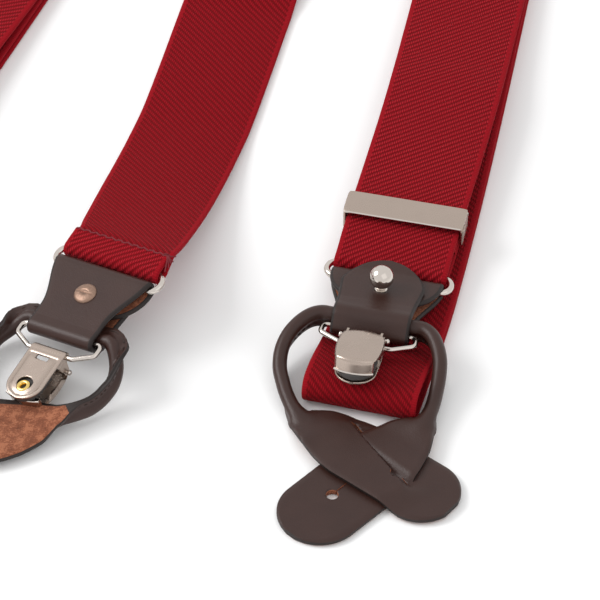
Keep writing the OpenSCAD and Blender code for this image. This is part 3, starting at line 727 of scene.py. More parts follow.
def tail_rows(place):
    """From the ring up to the adjuster's bar, round it, and back."""
    bar = BAR_Z - place.o[2]
    rows = [end_row(place, y, z, 180, 1) for y, z in
            ((-RING_GAP - 3.05, -LAYER), (10 - SLIDE_Y, bar - BAR_LAYER + 0.2), (-SLIDE_Y, bar - BAR_LAYER))]
    for a in range(15, 181, 15):
        t = math.radians(a)
        rows.append(end_row(place, -SLIDE_Y - BAR_LAYER * math.sin(t), bar - BAR_LAYER * math.cos(t),
                            180 + a, 1))
    rows += [end_row(place, 4 - SLIDE_Y, bar + BAR_LAYER - 0.1, 0, 1),
             end_row(place, 9 - SLIDE_Y, bar + BAR_LAYER - 0.9, -10, 1)]
    return rows


def moved(rows):
    """Rows of the right strap carried to the left one."""
    m = about(vec(0, 0, 1), TURN)
    return [(to_left(p), m @ w, m @ n, s) for p, w, n, s in rows]


def make_straps():
    right = F["right_front"]["ring"]
    starts = {"right_front": PATCH_AT + 44 * PATCH_UP + 26 * PATCH_ACROSS,
              "left_front": unturn(PATCH_AT + 44 * PATCH_UP - 26 * PATCH_ACROSS)}
    fars = {"right_front": 213.0, "left_front": 236.0}
    for end in FRONTS:
        rows = front_rows(right, BEND_AT - down(TOP_LEAN) * fars[end], starts[end])
        tail = tail_rows(right)
        if end == "left_front":
            rows, tail = moved(rows), moved(tail)
        ob, length = strap(f"{end}_webbing", "straps", rows, f"{end}_strap")
        ob, length = strap(f"{end}_webbing_tail", None, tail, f"{end}_tail", start=length)
        a, b = F[end]["ring"], F[end]["slide"]
        tuple(a(vec(0, -RING_GAP - 4, 0)) * MM)
        tuple(a(vec(0, 6 - SLIDE_Y, 0)) * MM)
        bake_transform(ob)
    place = F["rear"]["ring"]
    d0 = down(PATCH_LEAN)
    rows = [flat_row(PATCH_AT + 22 * PATCH_UP, d0, STRAP_Z, 1, -1),
            flat_row(PATCH_AT - 4 * PATCH_UP, d0, STRAP_Z, 1, -1),
            flat_row(PATCH_AT - 14 * PATCH_UP, d0, FLOOR_Z + 0.2, 1, -1),
            flat_row(KNEE, down(16), 1.4, 1, -1)]
    # From the knee the strap climbs and twists into the ring's frame
    last = end_row(place, -13.5, -0.35, 0, 1)
    for t in (0.2, 0.4, 0.55, 0.7, 0.82, 0.92):
        point = between(vec(*KNEE, 1.4), last[0], t)
        point[2] = 1.4 + (last[0][2] - 1.4) * (0.5 * t * t + 0.5 * t**1.3)
        flat = flat_row(KNEE, down(16.8), 1.4, 1, -1)
        turn = float(smooth(t, 0.45, 1.15))
        across = unit(between(flat[1], last[1], turn))
        face = between(flat[2], last[2], turn)
        rows.append((point, across, unit(face - across * (face @ across)), 0.0))
    rows += [last, end_row(place, -11.2, 0.5, 12, 1), end_row(place, -8.6, 1.55, 8, 1)]
    rows += ring_rows(place, 1)
    rows.append(end_row(place, -HEM - RING_GAP, -LAYER, -180, 1))
    ob, length = strap("rear_webbing", "straps", rows, "rear_strap")


make_straps()


def make_hem_threads():
    """Stitching along the raw edge of the rear hem, and frayed ends at its outer corner."""
    place = F["rear"]["ring"]
    side = 1 if place.m[0, 0] > 0 else -1
    y0, z0 = -HEM - RING_GAP, -LAYER - WEB_T / 2
    lines = [[(x, y0 + 0.25 * math.sin(x * 2.1) + 0.12 * math.sin(x * 5.3), z0 - 0.05)
              for x in np.linspace(-16.8, 16.8, 90)]]
    # Each frayed end: where it starts, how far it stands out, how far it leans along the strap
    frayed = ((16.9, 2.2, 0.6), (16.2, 2.6, -0.9), (17.1, 1.8, 2.0), (16.6, 2.4, 3.4), (17.0, 1.6, 4.6),
              (15.4, 1.1, -1.6), (17.2, 1.3, 1.3))
    for k, (start, out, along) in enumerate(frayed):
        lines.append([(side * (start + out * t), y0 + along * t + 0.5 * math.sin(3 * t + k) * t,
                       z0 + 1.1 * t * t) for t in np.linspace(0, 1, 9)])
    for k, line in enumerate(lines):
        ob = sweep(f"rear_hem_thread_{k}", "straps", place(np.array(line)), 0.26 if k == 0 else 0.2,
                   [RED_THREAD], k=8)


make_hem_threads()


# ---------- leather ----------

STRIP_COLUMNS = 18


def leather_side(columns):
    """Material of each face of a leather strip: grain, flesh side or cut edge."""
    index = {"top": 0, "bottom": 1, "edge": 2}

    def mat(i, a):
        return 2 if i < 0 else index[slab_side(columns, a)]
    return mat


def local_path(points, step=0.8):
    """Even points along a path in the (y, z) plane of a frame, and how far along it they are."""
    pts = np.array(points, float)
    s = lengths(pts)[1]
    at = np.linspace(0, s[-1], max(4, int(s[-1] / step)) + 1)
    y, z = np.interp(at, s, pts[:, 0]), np.interp(at, s, pts[:, 1])
    return np.column_stack([y, z]), at


def strip_in(place, points, width_of, name, body):
    """A leather strip that bends in the (y, z) plane, with its grain on the path's right."""
    path, s = local_path(points, 0.6)
    loops = []
    for (y, z), (dy, dz), at in zip(path, directions(path), s):
        n = vec(0, dz, -dy)
        section = slab(width_of(at, s[-1]), LEATHER, STRIP_COLUMNS)
        loops.append([place(vec(-a, y, z) + n * b) for a, b in section])
    return loft(name, body, loops, LEATHERS, leather_side(STRIP_COLUMNS), sharp=50)


def arc(cy, cz, r, a0, a1, steps=12):
    return [(cy + r * math.cos(math.radians(a)), cz + r * math.sin(math.radians(a)))
            for a in np.linspace(a0, a1, steps)]


def round_end(distance, radius, narrow=1.2):
    """Half width at a distance from the tip of a round end."""
    d = np.clip(distance, 0, radius)
    return max(math.sqrt(max(2 * radius * d - d * d, 0)), narrow)


def make_tab(end):
    """The leather folded round the ring: lobe in front, the longer layer behind."""
    place = F[end]["tab"]
    a, b = TAB_W / 2, ROLL_W / 2
    lobe = [(LOBE_LEN - t, FOLD_R) for t in np.linspace(0, LOBE_LEN, 12)]
    fold = arc(0, 0, FOLD_R, 90, 270, 14)
    behind = [(t, -FOLD_R) for t in np.linspace(0.5, TAB_LEN + 0.2, 14)]
    fold_len = math.pi * FOLD_R

    def width(s, total):
        if s < LOBE_LEN:
            x = s / LOBE_LEN
            return max(a * math.sqrt(max(1 - (1 - x) ** 2.2, 0)), 1.5)
        if s < LOBE_LEN + fold_len:
            return a
        t = (s - LOBE_LEN - fold_len) / TAB_LEN
        return b + (a - b) * (1 - float(smooth(t, -0.1, 0.82)))

    ob = strip_in(place, lobe + fold[1:] + behind, width, f"{end}_leather_tab", f"{end}_leather_tab")
    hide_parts(f"{end}_tab")
    hole = circle_loop(1.0, 20) + [0, STUD_Y]
    cut(ob, prism(place, hole, -8, 8, SUEDE))


def hull_path(circles, a0, a1, steps):
    """Outline round circles (y, z, radius) from one outward angle to another."""
    out = []
    for t in np.radians(np.linspace(a0, a1, steps)):
        n = vec(math.cos(t), math.sin(t))
        y, z, r = max(circles, key=lambda c: c[0] * n[0] + c[1] * n[1] + c[2])
        out.append((y + r * n[0], z + r * n[1]))
    return out


def make_flap(end):
    """The roll round the cord and the bail, running on into the flap that buttons over the stud."""
    place = F[end]["tab"]
    half = LEATHER / 2
    circles = [(TAB_LEN, ROLL_Z, CORD_R + RUN + half), (BAIL_Y, BAIL_Z, BAIL_R + RUN + half)]
    roll = hull_path(circles, -88, 100, 40)
    start = [(TAB_LEN + 0.25, -FOLD_R)]
    flap = [(HINGE_Y, FLAP_Z + 0.25), (HINGE_Y - 3, FLAP_Z)] + \
           [(y, FLAP_Z) for y in np.linspace(HINGE_Y - 5, 3, 8)] + \
           [(0, FLAP_Z + 0.15), (-FLAP_REACH, FLAP_Z + 1.25)]

    def width(s, total):
        left_over = total - s
        wide = ROLL_W / 2 + (FLAP_W - ROLL_W) / 2 * float(smooth(left_over, 22, 8))
        return min(wide, round_end(left_over, FLAP_W / 2 + 0.2))

    ob = strip_in(place, start + roll + flap, width, f"{end}_leather_flap", None)
    tuple(place(vec(0, HINGE_Y + 2.4, FLAP_Z)) * MM)
    tuple(place(vec(0, HINGE_Y - 3.5, FLAP_Z)) * MM)
    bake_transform(ob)
    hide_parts(f"{end}_flap")
    hole = circle_loop(1.7, 24) + [0, STUD_Y]
    cut(ob, prism(place, hole, 2.5, 8, SUEDE))


# ---------- metal of the ends ----------

def make_ring(end):
    place = F[end]["ring"]
    half = RING_HALF
    corners = [(-half, 0, 0), (half, 0, 0), (half, -RING_GAP, 0), (-half, -RING_GAP, 0)]
    path = place(rounded_path([vec(*c) for c in corners], RING_GAP / 2 - 0.01, closed=True, steps=14))
    ob = sweep(f"{end}_wire_ring", f"{end}_end_ring", path, RING_R, [BRIGHT], k=20, closed=True)
    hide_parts(f"{end}_ring")


def make_stud(end):
    place = Place(F[end]["tab"](vec(0, STUD_Y, 0)), *F[end]["tab"].m.T)
    base = FLAP_Z + LEATHER / 2
    centre = base + 0.9 + BALL_R
    ball = [(BALL_R * math.sin(math.radians(a)), centre - BALL_R * math.cos(math.radians(a)))
            for a in range(28, 180, 8)]
    profile = [(0.05, 3.1), (1.4, 3.1), (1.4, base - 0.1), (1.9, base), (1.9, base + 0.25)]
    profile += [(1.45, base + 0.5), (1.5, base + 0.9)] + ball + [(0.08, centre + BALL_R)]
    ob = revolve(f"{end}_stud", f"{end}_leather_tab", place, profile, [BRIGHT])
    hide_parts(f"{end}_ball_stud")
    low = -(RING_R + RUN + LEATHER) - 0.02
    head = [(0.05, low - 1.05), (1.6, low - 1.0), (2.9, low - 0.75), (3.45, low - 0.4), (SCREW_R, low - 0.1),
            (SCREW_R, low), (1.0, low), (0.85, low + 0.1), (0.85, 2.9), (0.05, 3.0)]
    ob = revolve(f"{end}_screw", f"{end}_leather_tab", place, head, [AGED])
    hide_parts(f"{end}_stud_screw")
    slot_shape = [(-5, -0.4), (5, -0.4), (5, 0.4), (-5, 0.4)]
    cut(ob, prism(place, slot_shape, low - 2, low - 0.45, AGED))


def make_bail(end):
    place = F[end]["bail"]
    corner, knee, foot = 14.4, 4.1, CLIP_W / 2 + 1.8
    pts = [(-corner, 0), (corner, 0), (corner, knee), (foot, BAIL_LEN), (-foot, BAIL_LEN), (-corner, knee)]
    path = place(rounded_path([vec(x, y, 0) for x, y in pts], 1.7, closed=True, steps=8))
    ob = sweep(f"{end}_bail_wire", f"{end}_wire_bail", path, BAIL_R, [BRIGHT], k=16, closed=True)
    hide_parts(f"{end}_bail")


PLATE_T = 0.7
KNUCKLE = BAIL_R + RUN + PLATE_T / 2


def emboss(x, y):
    """Height of the plate's raised border and dished middle."""
    w = CLIP_W / 2
    tip = PLATE_TIP - w
    edge = w - np.hypot(x, max(y - tip, 0)) if y > tip else w - abs(x)
    edge = min(edge, y - 1.2)
    groove = -0.3 * math.exp(-((edge - 1.35) / 0.3) ** 2)
    rim = 0.12 * float(smooth(edge, 0.2, 0.7))
    return rim + groove + 0.16 * float(smooth(edge, 1.7, 3.2))


def make_clip_plate(end):
    """Back plate: curled round the bail at one end, round at the other, with a pressed border."""
    place = F[end]["clip"]
    w = CLIP_W / 2
    pts = arc(0, 0, KNUCKLE, 20, 270, 20) + [(y, -KNUCKLE) for y in np.arange(0.5, PLATE_TIP + 0.01, 0.45)]
    loops = []
    for (y, z), (dy, dz) in zip(pts, directions(pts)):
        half = w - 0.25 if z > -KNUCKLE + 0.05 and y <= 0.4 else w
        if y > PLATE_TIP - w:
            half = max(math.sqrt(max(w * w - (y - PLATE_TIP + w) ** 2, 0)), 0.6)
        n = vec(0, dz, -dy)
        section = slab(half, PLATE_T, 30, edge=0.4)
        flat = z <= -KNUCKLE + 0.02
        loops.append([place(vec(0, y, z) + vec(-1, 0, 0) * a + n * (b + (emboss(a, y) if flat else 0)))
                      for a, b in section])
    ob = loft(f"{end}_clip_back", f"{end}_clip", loops, [NICKEL], sharp=45)
    # Slot by the bail, and the round window with its crescent
    cut(ob, prism(place, [(-2.4, 2.5), (2.4, 2.5), (2.2, 4.4), (-2.2, 4.4)], -4, 0.2, NICKEL))
    window = [(2.7 * c, 13.4 + 2.3 * s) for c, s in circle_loop(1, 28)]
    cut(ob, prism(place, window, -4, 0, NICKEL))
    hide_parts(f"{end}_clip_plate")
    # Side ears that carry the pivot
    for side in (-1, 1):
        outline = [(PIVOT_Y - 2.6, -1.5), (PIVOT_Y + 3.2, -1.5), (PIVOT_Y + 2.1, 0.8)]
        outline += arc(PIVOT_Y, PIVOT_Z, 1.2, -20, 180, 14) + [(PIVOT_Y - 1.5, 1.5)]
        ear = side_plate(f"{end}_clip_ear_{'a' if side > 0 else 'b'}", f"{end}_clip", place, outline,
                         side * (w - 0.35))
        bevel(ear, 0.12)


BOW = 1.7   # how far the lever's front corners are drawn back


def make_clip_lever(end):
    """The domed lever: crowned face, rounded shoulders, a front wall and a rolled lip."""
    place = F[end]["clip"]
    top = CLIP_H - 0.4
    w = LEVER_W / 2 - 0.4
    path = [(0.5, top - 0.5), (1.4, top - 0.12)]
    path += [(y, top + 0.25 * math.sin((y - 1) / 15 * math.pi))
             for y in np.linspace(2.5, LEVER_LEN - 1.5, 14)]
    path += arc(LEVER_LEN - 1.0, top - 1.0, 1.0, 85, 0, 6)
    path += [(LEVER_LEN, z) for z in np.linspace(top - 1.4, 1.5, 7)]
    pts, s = local_path(path, 0.5)
    loops = []
    for (y, z), (dy, dz), at in zip(pts, directions(pts), s):
        n = vec(0, -dz, dy)
        bulge = math.sin(np.clip(at / (LEVER_LEN - 1), 0, 1) * math.pi) ** 0.6
        half = w * (0.84 + 0.16 * bulge)
        # Corners are drawn in, so that both edges bow
        pull = 1.1 * (1 - float(smooth(at, 0, 5))) - BOW * float(smooth(at, 8, LEVER_LEN - 2))
        drop = 0.7 + 2.2 * float(smooth(at, 3, 6)) * (1 - float(smooth(at, LEVER_LEN - 6, LEVER_LEN - 3)))
        loops.append([place(vec(0, y + pull * (a / w) ** 2, z) + vec(a, 0, 0) + n * b)
                      for a, b in arch(half, drop, 0.6)])
    ob = loft(f"{end}_clip_face", f"{end}_clip_jaw_lever", loops, [NICKEL], sharp=50)
    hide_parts(f"{end}_clip_lever")
    # Bright rolled lip along the lower edge of the front wall
    lip = [vec(a * w * 0.84, LEVER_LEN + 0.1 - BOW * (0.84 * a) ** 2, 1.25 + 0.1 * a * a)
           for a in np.linspace(-1, 1, 17)]
    ob = sweep(f"{end}_clip_lip", f"{end}_clip_jaw_lever", place(np.array(lip)), 0.42, [BRIGHT], k=12)
    # Lugs on the pivot, inside the plate's ears
    for side in (-1, 1):
        outline = arc(PIVOT_Y, PIVOT_Z, 1.15, 170, 370, 14)
        outline += [(PIVOT_Y + 1.6, top + 0.05), (PIVOT_Y - 1.5, top - 0.05)]
        lug = side_plate(f"{end}_lever_lug_{'a' if side > 0 else 'b'}", f"{end}_clip_jaw_lever", place,
                         outline, side * (CLIP_W / 2 - 0.7 - RUN - 0.35))


def arch(half, drop, t):
    """Closed section of a pressed shell: outer line over the top, inner line back."""
    r = 0.9
    outer = [(-half, -drop)]
    outer += [(-half + r - r * math.cos(math.radians(a)), -r + r * math.sin(math.radians(a)))
              for a in (0, 22, 45, 68, 90)]
    outer += [(x * (half - r), 0.28 * (1 - x * x)) for x in np.linspace(-0.85, 0.85, 11)]
    outer += [(-x, z) for x, z in reversed(outer[:6])]
    inner = [(x * (half - t) / half, (z - t) if z > -r - 0.01 else z) for x, z in outer]
    inner[0], inner[-1] = (-half + t, -drop), (half - t, -drop)
    return outer + inner[::-1]


def make_clip_small(end):
    """Grip pad, eyelet and pivot pin of a clip."""
    place = F[end]["clip"]
    w = CLIP_W / 2 - 0.7
    low = -KNUCKLE + PLATE_T / 2 + 0.25
    y0, y1 = 8.0, CLIP_LEN - 1.6
    loops = []
    for y in np.linspace(y0, y1, 30):
        tip = y1 - w
        half = w if y < tip else max(math.sqrt(max(w * w - (y - tip) ** 2, 0)), 0.6)
        rib = 0.18 * math.sin(y * 2 * math.pi / 1.6)
        section = slab(half, 1.7, 12, edge=0.3)
        loops.append([place(vec(a, y, low + 0.85 + b + (rib if b > 0 else 0))) for a, b in section])
    ob = loft(f"{end}_grip_pad", f"{end}_clip", loops, [PAD], sharp=50)
    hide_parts(f"{end}_clip_pad")
    eye = Place(place(vec(0, 14.5, 0)), *place.m.T)
    top = low + 1.0
    ring = [(1.0, top), (1.0, -KNUCKLE - 0.55), (1.25, -KNUCKLE - 0.78), (1.7, -KNUCKLE - 0.82),
            (2.1, -KNUCKLE - 0.6), (2.15, -KNUCKLE - 0.4), (1.5, -KNUCKLE - 0.38), (1.5, top)]
    loops = [[eye(vec(r * c, r * s, z)) for c, s in circle_loop(1, 32)] for r, z in ring]
    ob = loft(f"{end}_eyelet", f"{end}_clip", loops, [BRASS], ring=True, sharp=60)
    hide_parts(f"{end}_clip_eyelet")
    xs = [-7.9, -7.75, -7.4, -7.0, -6.7, -6.5, -6.4]
    rs = [0.05, 0.45, 0.82, 0.85, 0.6, 0.55, 0.6]
    xs = xs + [-x for x in reversed(xs)]
    rs = rs + list(reversed(rs))
    loops = [[place(vec(x, PIVOT_Y + r * c, PIVOT_Z + r * s)) for c, s in circle_loop(1, 16)]
             for x, r in zip(xs, rs)]
    ob = loft(f"{end}_pivot_pin", f"{end}_clip", loops, [BRIGHT], sharp=60)
    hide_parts(f"{end}_clip_pin")


# ---------- button loops ----------

# The loops' routes beyond the roll, as in part.scad: across, down the strap, height
FRONT_A = [(18.7, 21.7, 11.2), (21.6, 25.2, 10.5), (23.8, 29.8, 9.2), (24.6, 34.8, 7.5),
           (23.9, 39.8, 5.7), (22, 44.2, 4.5), (20, 48, 3.7), (17.2, 52, 3.1), (13.8, 55.4, 2.9)]
FRONT_B = [(-18.7, 22, 11.2), (-21.2, 25.8, 10.6), (-22.9, 30, 9.4), (-23.6, 34.4, 7.6),
           (-23.8, 39, 5.8), (-23.8, 43.6, 5), (-23.4, 48, 5), (-22.6, 51.6, 5)]
REAR_A = [(-19.6, 24.2, 11.2), (-20.9, 28.2, 7.8), (-20.4, 32.2, 5.4), (-19, 37.2, 4.2),
          (-16.4, 42, 4.2), (-13, 46.4, 4.2)]
REAR_B = [(18.9, 23.4, 5), (20.8, 28, 3.7), (21, 33, 2.8), (20, 38, 2.4), (18.2, 43, 2.3),
          (15.6, 47.6, 2.3)]
CORD_STRAIGHT = 15.5
SLOT_FROM, SLOT_TO = vec(-1.9, 54.6), vec(-22.3, 75)
SLOT_WIDTH = 1.6


def catmull(points, step=0.9):
    """A smooth curve through points."""
    p = np.array(points, float)
    ext = np.vstack([2 * p[0] - p[1], p, 2 * p[-1] - p[-2]])
    out = []
    for i in range(1, len(ext) - 2):
        a, b, c, d = ext[i - 1:i + 3]
        count = max(2, int(np.linalg.norm(c - b) / step))
        for t in np.arange(count) / count:
            out.append(0.5 * (2 * b + (c - a) * t + (2 * a - 5 * b + 4 * c - d) * t * t
                              + (3 * b - a - 3 * c + d) * t**3))
    out.append(p[-1])
    return np.array(out)


TOP_POINTS = 24
FIN_HALF = 0.85   # half the thickness of the cord's fin


def rolled_section():
    """Rolled cord with its sewn fin below: the outer skin from fin side to fin side, then the fin's end."""
    fin, half = 4.55, FIN_HALF
    skin = [(-half, -fin), (-half, -3.4)]
    skin += [(CORD_R * math.sin(math.radians(a)), CORD_R * math.cos(math.radians(a)))
             for a in np.linspace(-156, 156, TOP_POINTS - 3)]
    skin += [(half, -3.4), (half, -fin)]
    end = [(half - 0.1, -fin - 0.1), (0.5, -fin - 0.12), (0.25, -fin - 0.05)]
    end += [(x * 0.2, -fin) for x in np.linspace(1, -1, 5)]
    end += [(-p[0], p[1]) for p in reversed(end[:3])]
    return np.array(skin + end)


def flat_section(half, t=LEATHER):
    """The same points on a flat strip: skin on top, flesh side below."""
    n = TOP_POINTS + 1
    skin = [(x * (half - 0.2), t / 2) for x in np.linspace(-1, 1, n)]
    skin[0], skin[-1] = (-half, t / 2 - 0.45), (half, t / 2 - 0.45)
    low = [(half, -t / 2 + 0.4), (half - 0.25, -t / 2 + 0.08), (half * 0.8, -t / 2)]
    low += [(x * half * 0.6, -t / 2) for x in np.linspace(1, -1, 5)]
    low += [(-p[0], p[1]) for p in reversed(low[:3])]
    return np.array(skin + low)


ROLLED = rolled_section()


def loop_half(name, end, centre, ups, opened, halves):
    """Half of the loop, from a tab's tip to the middle of the roll: one strip, flat and then rolled."""
    d = np.gradient(centre, axis=0)
    loops = []
    for i, t in enumerate(d):
        t = unit(t)
        up = unit(ups[i] - t * (ups[i] @ t))
        side = np.cross(t, up)
        section = ROLLED * (1 - opened[i]) + flat_section(halves[i]) * opened[i]
        loops.append([centre[i] + side * a + up * b for a, b in section])

    def mat(i, a):
        if i < 0:
            return 2
        if a < TOP_POINTS:
            return 0
        edge = a < TOP_POINTS + 3 or a > len(ROLLED) - 3
        return 2 if edge or opened[i] < 0.3 else 1

    ob = loft(name, f"{end}_button_loop", loops, LEATHERS, mat, sharp=60)
    return ob


def tab_path(start, tip, radius, z_of):
    """Centre line of a tab from the cord's last point to its tip."""
    root = np.asarray(start)[:2]
    d = unit(np.asarray(tip) - root)
    total = np.linalg.norm(np.asarray(tip) - root) + radius - 0.05
    at = np.arange(0.9, total, 0.7)
    pts = [(*(root + d * s), z_of(root + d * s, s)) for s in at]
    return pts, at, total


def slot_distance(p):
    """Signed distance from the slot's line, and the place along it."""
    along = unit(SLOT_TO - SLOT_FROM)
    r = np.asarray(p)[:2] - SLOT_FROM
    return float(r @ vec(-along[1], along[0])) * -1, float(r @ along)


def make_loop(end):
    """The rolled cord through the roll with a flat tab at each end, in two halves that meet in the roll."""
    level, tab = F[end]["level"], F[end]["tab"]
    roll = tab(vec(0, TAB_LEN, ROLL_Z))
    front = end in FRONTS
    side_a, side_b = (FRONT_A, FRONT_B) if front else (REAR_A, REAR_B)
    sign = 1 if np.dot(tab.m[:, 0], level.m[:, 0]) * side_a[0][0] > 0 else -1
    bar = [tab(vec(sign * CORD_STRAIGHT * k, TAB_LEN, ROLL_Z)) for k in (1, 0.77, 0.3, -0.3, -0.77, -1)]
    cord = [level(vec(*p)) for p in reversed(side_a)] + bar + [level(vec(*p)) for p in side_b]
    curve = catmull(cord)
    face = 1 if front else -1
    if front:
        tips = {"a": (-27.0, 75.4, 12.0), "b": (0.2, 89.6, 12.8)}
        heights = {"a": 1.35, "b": 0.95}
    else:
        tips = {"a": (18.0, 73.0, 12.8), "b": (22.0, 69.0, 12.8)}
        heights = {"a": 2.8, "b": 0.95}
    parts = {}
    for key, side in (("a", side_a), ("b", side_b)):
        start = side[-1]
        x, y, radius = tips[key]
        z_end = heights[key]

        def z_of(p, s, key=key, start=start, z_end=z_end):
            z = start[2] + (z_end - start[2]) * float(smooth(s, 0, 14))
            if front and key == "b":
                over = start[2] + (3.1 - start[2]) * float(smooth(s, 0, 10))
                through = float(smooth(slot_distance(p)[0], -1.6, 1.6))
                z = over * (1 - through) + z_end * through
            return z
        pts, at, total = tab_path(start, (x, y), radius, z_of)
        parts[key] = ([level(vec(*p)) for p in pts], at, total, radius)
    a_pts, a_at, a_total, a_r = parts["a"]
    b_pts, b_at, b_total, b_r = parts["b"]
    centre = np.array(list(reversed(a_pts)) + list(curve) + list(b_pts))
    # Distance from each tab's root, negative along the cord
    run = lengths(curve)[1]
    from_a = np.concatenate([a_at[::-1], -run, np.full(len(b_at), -run[-1])])
    from_b = np.concatenate([np.full(len(a_at), -run[-1]), run - run[-1], b_at])
    grow = 11.0 if front else 8.0
    opened = np.maximum(smooth(from_a, -grow, 7), smooth(from_b, -grow, 7))
    halves = np.empty(len(centre))
    for i in range(len(centre)):
        s, total, radius = (from_a[i], a_total, a_r) if from_a[i] > from_b[i] else (from_b[i], b_total, b_r)
        wide = 5.5 + (radius - 5.5) * float(smooth(s, -6, 22))
        halves[i] = min(wide, round_end(total - s, radius, 1.0)) if s > 0 else wide
    ups = np.tile(vec(0, 0, face), (len(centre), 1))
    # In the roll the fin points to the back of the tab, or at the rear between its two layers
    inward = tab.m[:, 2] if front else tab.m[:, 1]
    for i, p in enumerate(centre):
        near = smooth(np.linalg.norm(p - roll), 22, 14)
        ups[i] = unit(ups[i] * (1 - near) + inward * near)
        if near > 0.5:
            opened[i] = 0.0
    middle = len(a_pts) + int(np.argmin(np.linalg.norm(curve - roll, axis=1)))
    half_a = loop_half(f"{end}_loop_half_a", end, centre[:middle + 1], ups[:middle + 1],
                       opened[:middle + 1], halves[:middle + 1])
    half_b = loop_half(f"{end}_loop_half_b", end, centre[middle:], ups[middle:],
                       opened[middle:], halves[middle:])
    if front:
        lift_tab_a(half_a, level, len(a_pts))
    punch_tabs(half_a, half_b, end, level, tips)
    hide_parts(f"{end}_loop_cord", f"{end}_loop_tab_a")
    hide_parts(f"{end}_loop_tab_b")
    stitch_fin(end, centre, ups, opened)


def lift_tab_a(ob, level, rows):
    """Raises the half of tab a beyond the slot, so that tab b passes under it."""
    k = len(ROLLED)
    inverse = level.m.T
    for v in list(ob.data.vertices)[:rows * k]:
        p = inverse @ (np.array(v.co) / MM - level.o)
        d, t = slot_distance(p)
        length = np.linalg.norm(SLOT_TO - SLOT_FROM)
        past = max(0 - t, t - length, 0)
        ease = 0.6 + past * 1.2
        window = float(smooth(past, 9, 0))
        rise = 1.75 * float(smooth(d, -ease, ease)) * window
        v.co = Vector(level(vec(p[0], p[1], p[2] + rise)) * MM)


def punch_tabs(half_a, half_b, end, level, tips):
    """Button holes with their slits, and the long slot of the front loop."""
    def slit(start, finish, width):
        d = unit(np.asarray(finish) - start)
        n = vec(-d[1], d[0]) * width / 2
        return [start - n, start + n, finish + n, finish - n][::-1]
    if end in FRONTS:
        cut(half_a, prism(level, slit(SLOT_FROM, SLOT_TO, SLOT_WIDTH), -2, 8, SUEDE), True)
        holes = [(half_a, (-18.8, 71.5), None), (half_b, (-2.0, 83.0), (-8.5, 71.5))]
    else:
        holes = []
        for ob, key, side in ((half_a, "a", REAR_A), (half_b, "b", REAR_B)):
            tip = vec(*tips[key][:2])
            d = unit(tip - np.asarray(side[-1])[:2])
            holes.append((ob, tip - 4 * d, tip - 14 * d))
    for ob, at, to in holes:
        at = vec(*at)
        cut(ob, prism(level, circle_loop(HOLE_R, 28) + at, -2, 8, SUEDE), ob is half_a)
        if to is not None:
            cut(ob, prism(level, slit(at, vec(*to), 0.35), -2, 8, SUEDE))


def stitch_fin(end, centre, ups, opened):
    """A row of thread stitches on both sides of the cord's fin."""
    gap, s = lengths(centre)
    rolled = [i for i in range(len(centre)) if opened[i] < 0.35]
    low, high = s[rolled[0]], s[rolled[-1]]
    roll = s[int(np.argmin(np.linalg.norm(centre - F[end]["tab"](vec(0, TAB_LEN, ROLL_Z)), axis=1)))]
    d = np.gradient(centre, axis=0)
    verts, faces = [], []
    pitch, long = 2.2, 1.4
    for at in np.arange(low + 0.5, high - 1.6, pitch):
        if abs(at - roll) < 13.5:
            continue   # hidden in the roll
        for side_sign in (-1, 1):
            rings = []
            for q in np.linspace(0, long, 5):
                j = np.searchsorted(s, at + q) - 1
                t = (at + q - s[j]) / gap[j]
                p = centre[j] + (centre[j + 1] - centre[j]) * t
                tang = unit(d[j])
                up = unit(ups[j] - tang * (ups[j] @ tang))
                side = np.cross(tang, up)
                out = FIN_HALF - 0.02 + 0.16 * math.sin(q / long * math.pi)
                p = p - up * 3.55 + side * side_sign * out
                r = 0.06 if q in (0, long) else 0.2
                rings.append([p + r * (a * up + b * side) for a, b in circle_loop(1, 6)])
            add_stitch(verts, faces, rings)
    ob = piece(f"{end}_loop_stitching", f"{end}_button_loop", verts, faces, [THREAD], sharp=80)


for name in ENDS:
    make_ring(name)
    make_tab(name)
    make_flap(name)
    make_stud(name)
    make_bail(name)
    make_clip_plate(name)
    make_clip_lever(name)
    make_clip_small(name)
    make_loop(name)


# ---------- slide adjusters ----------

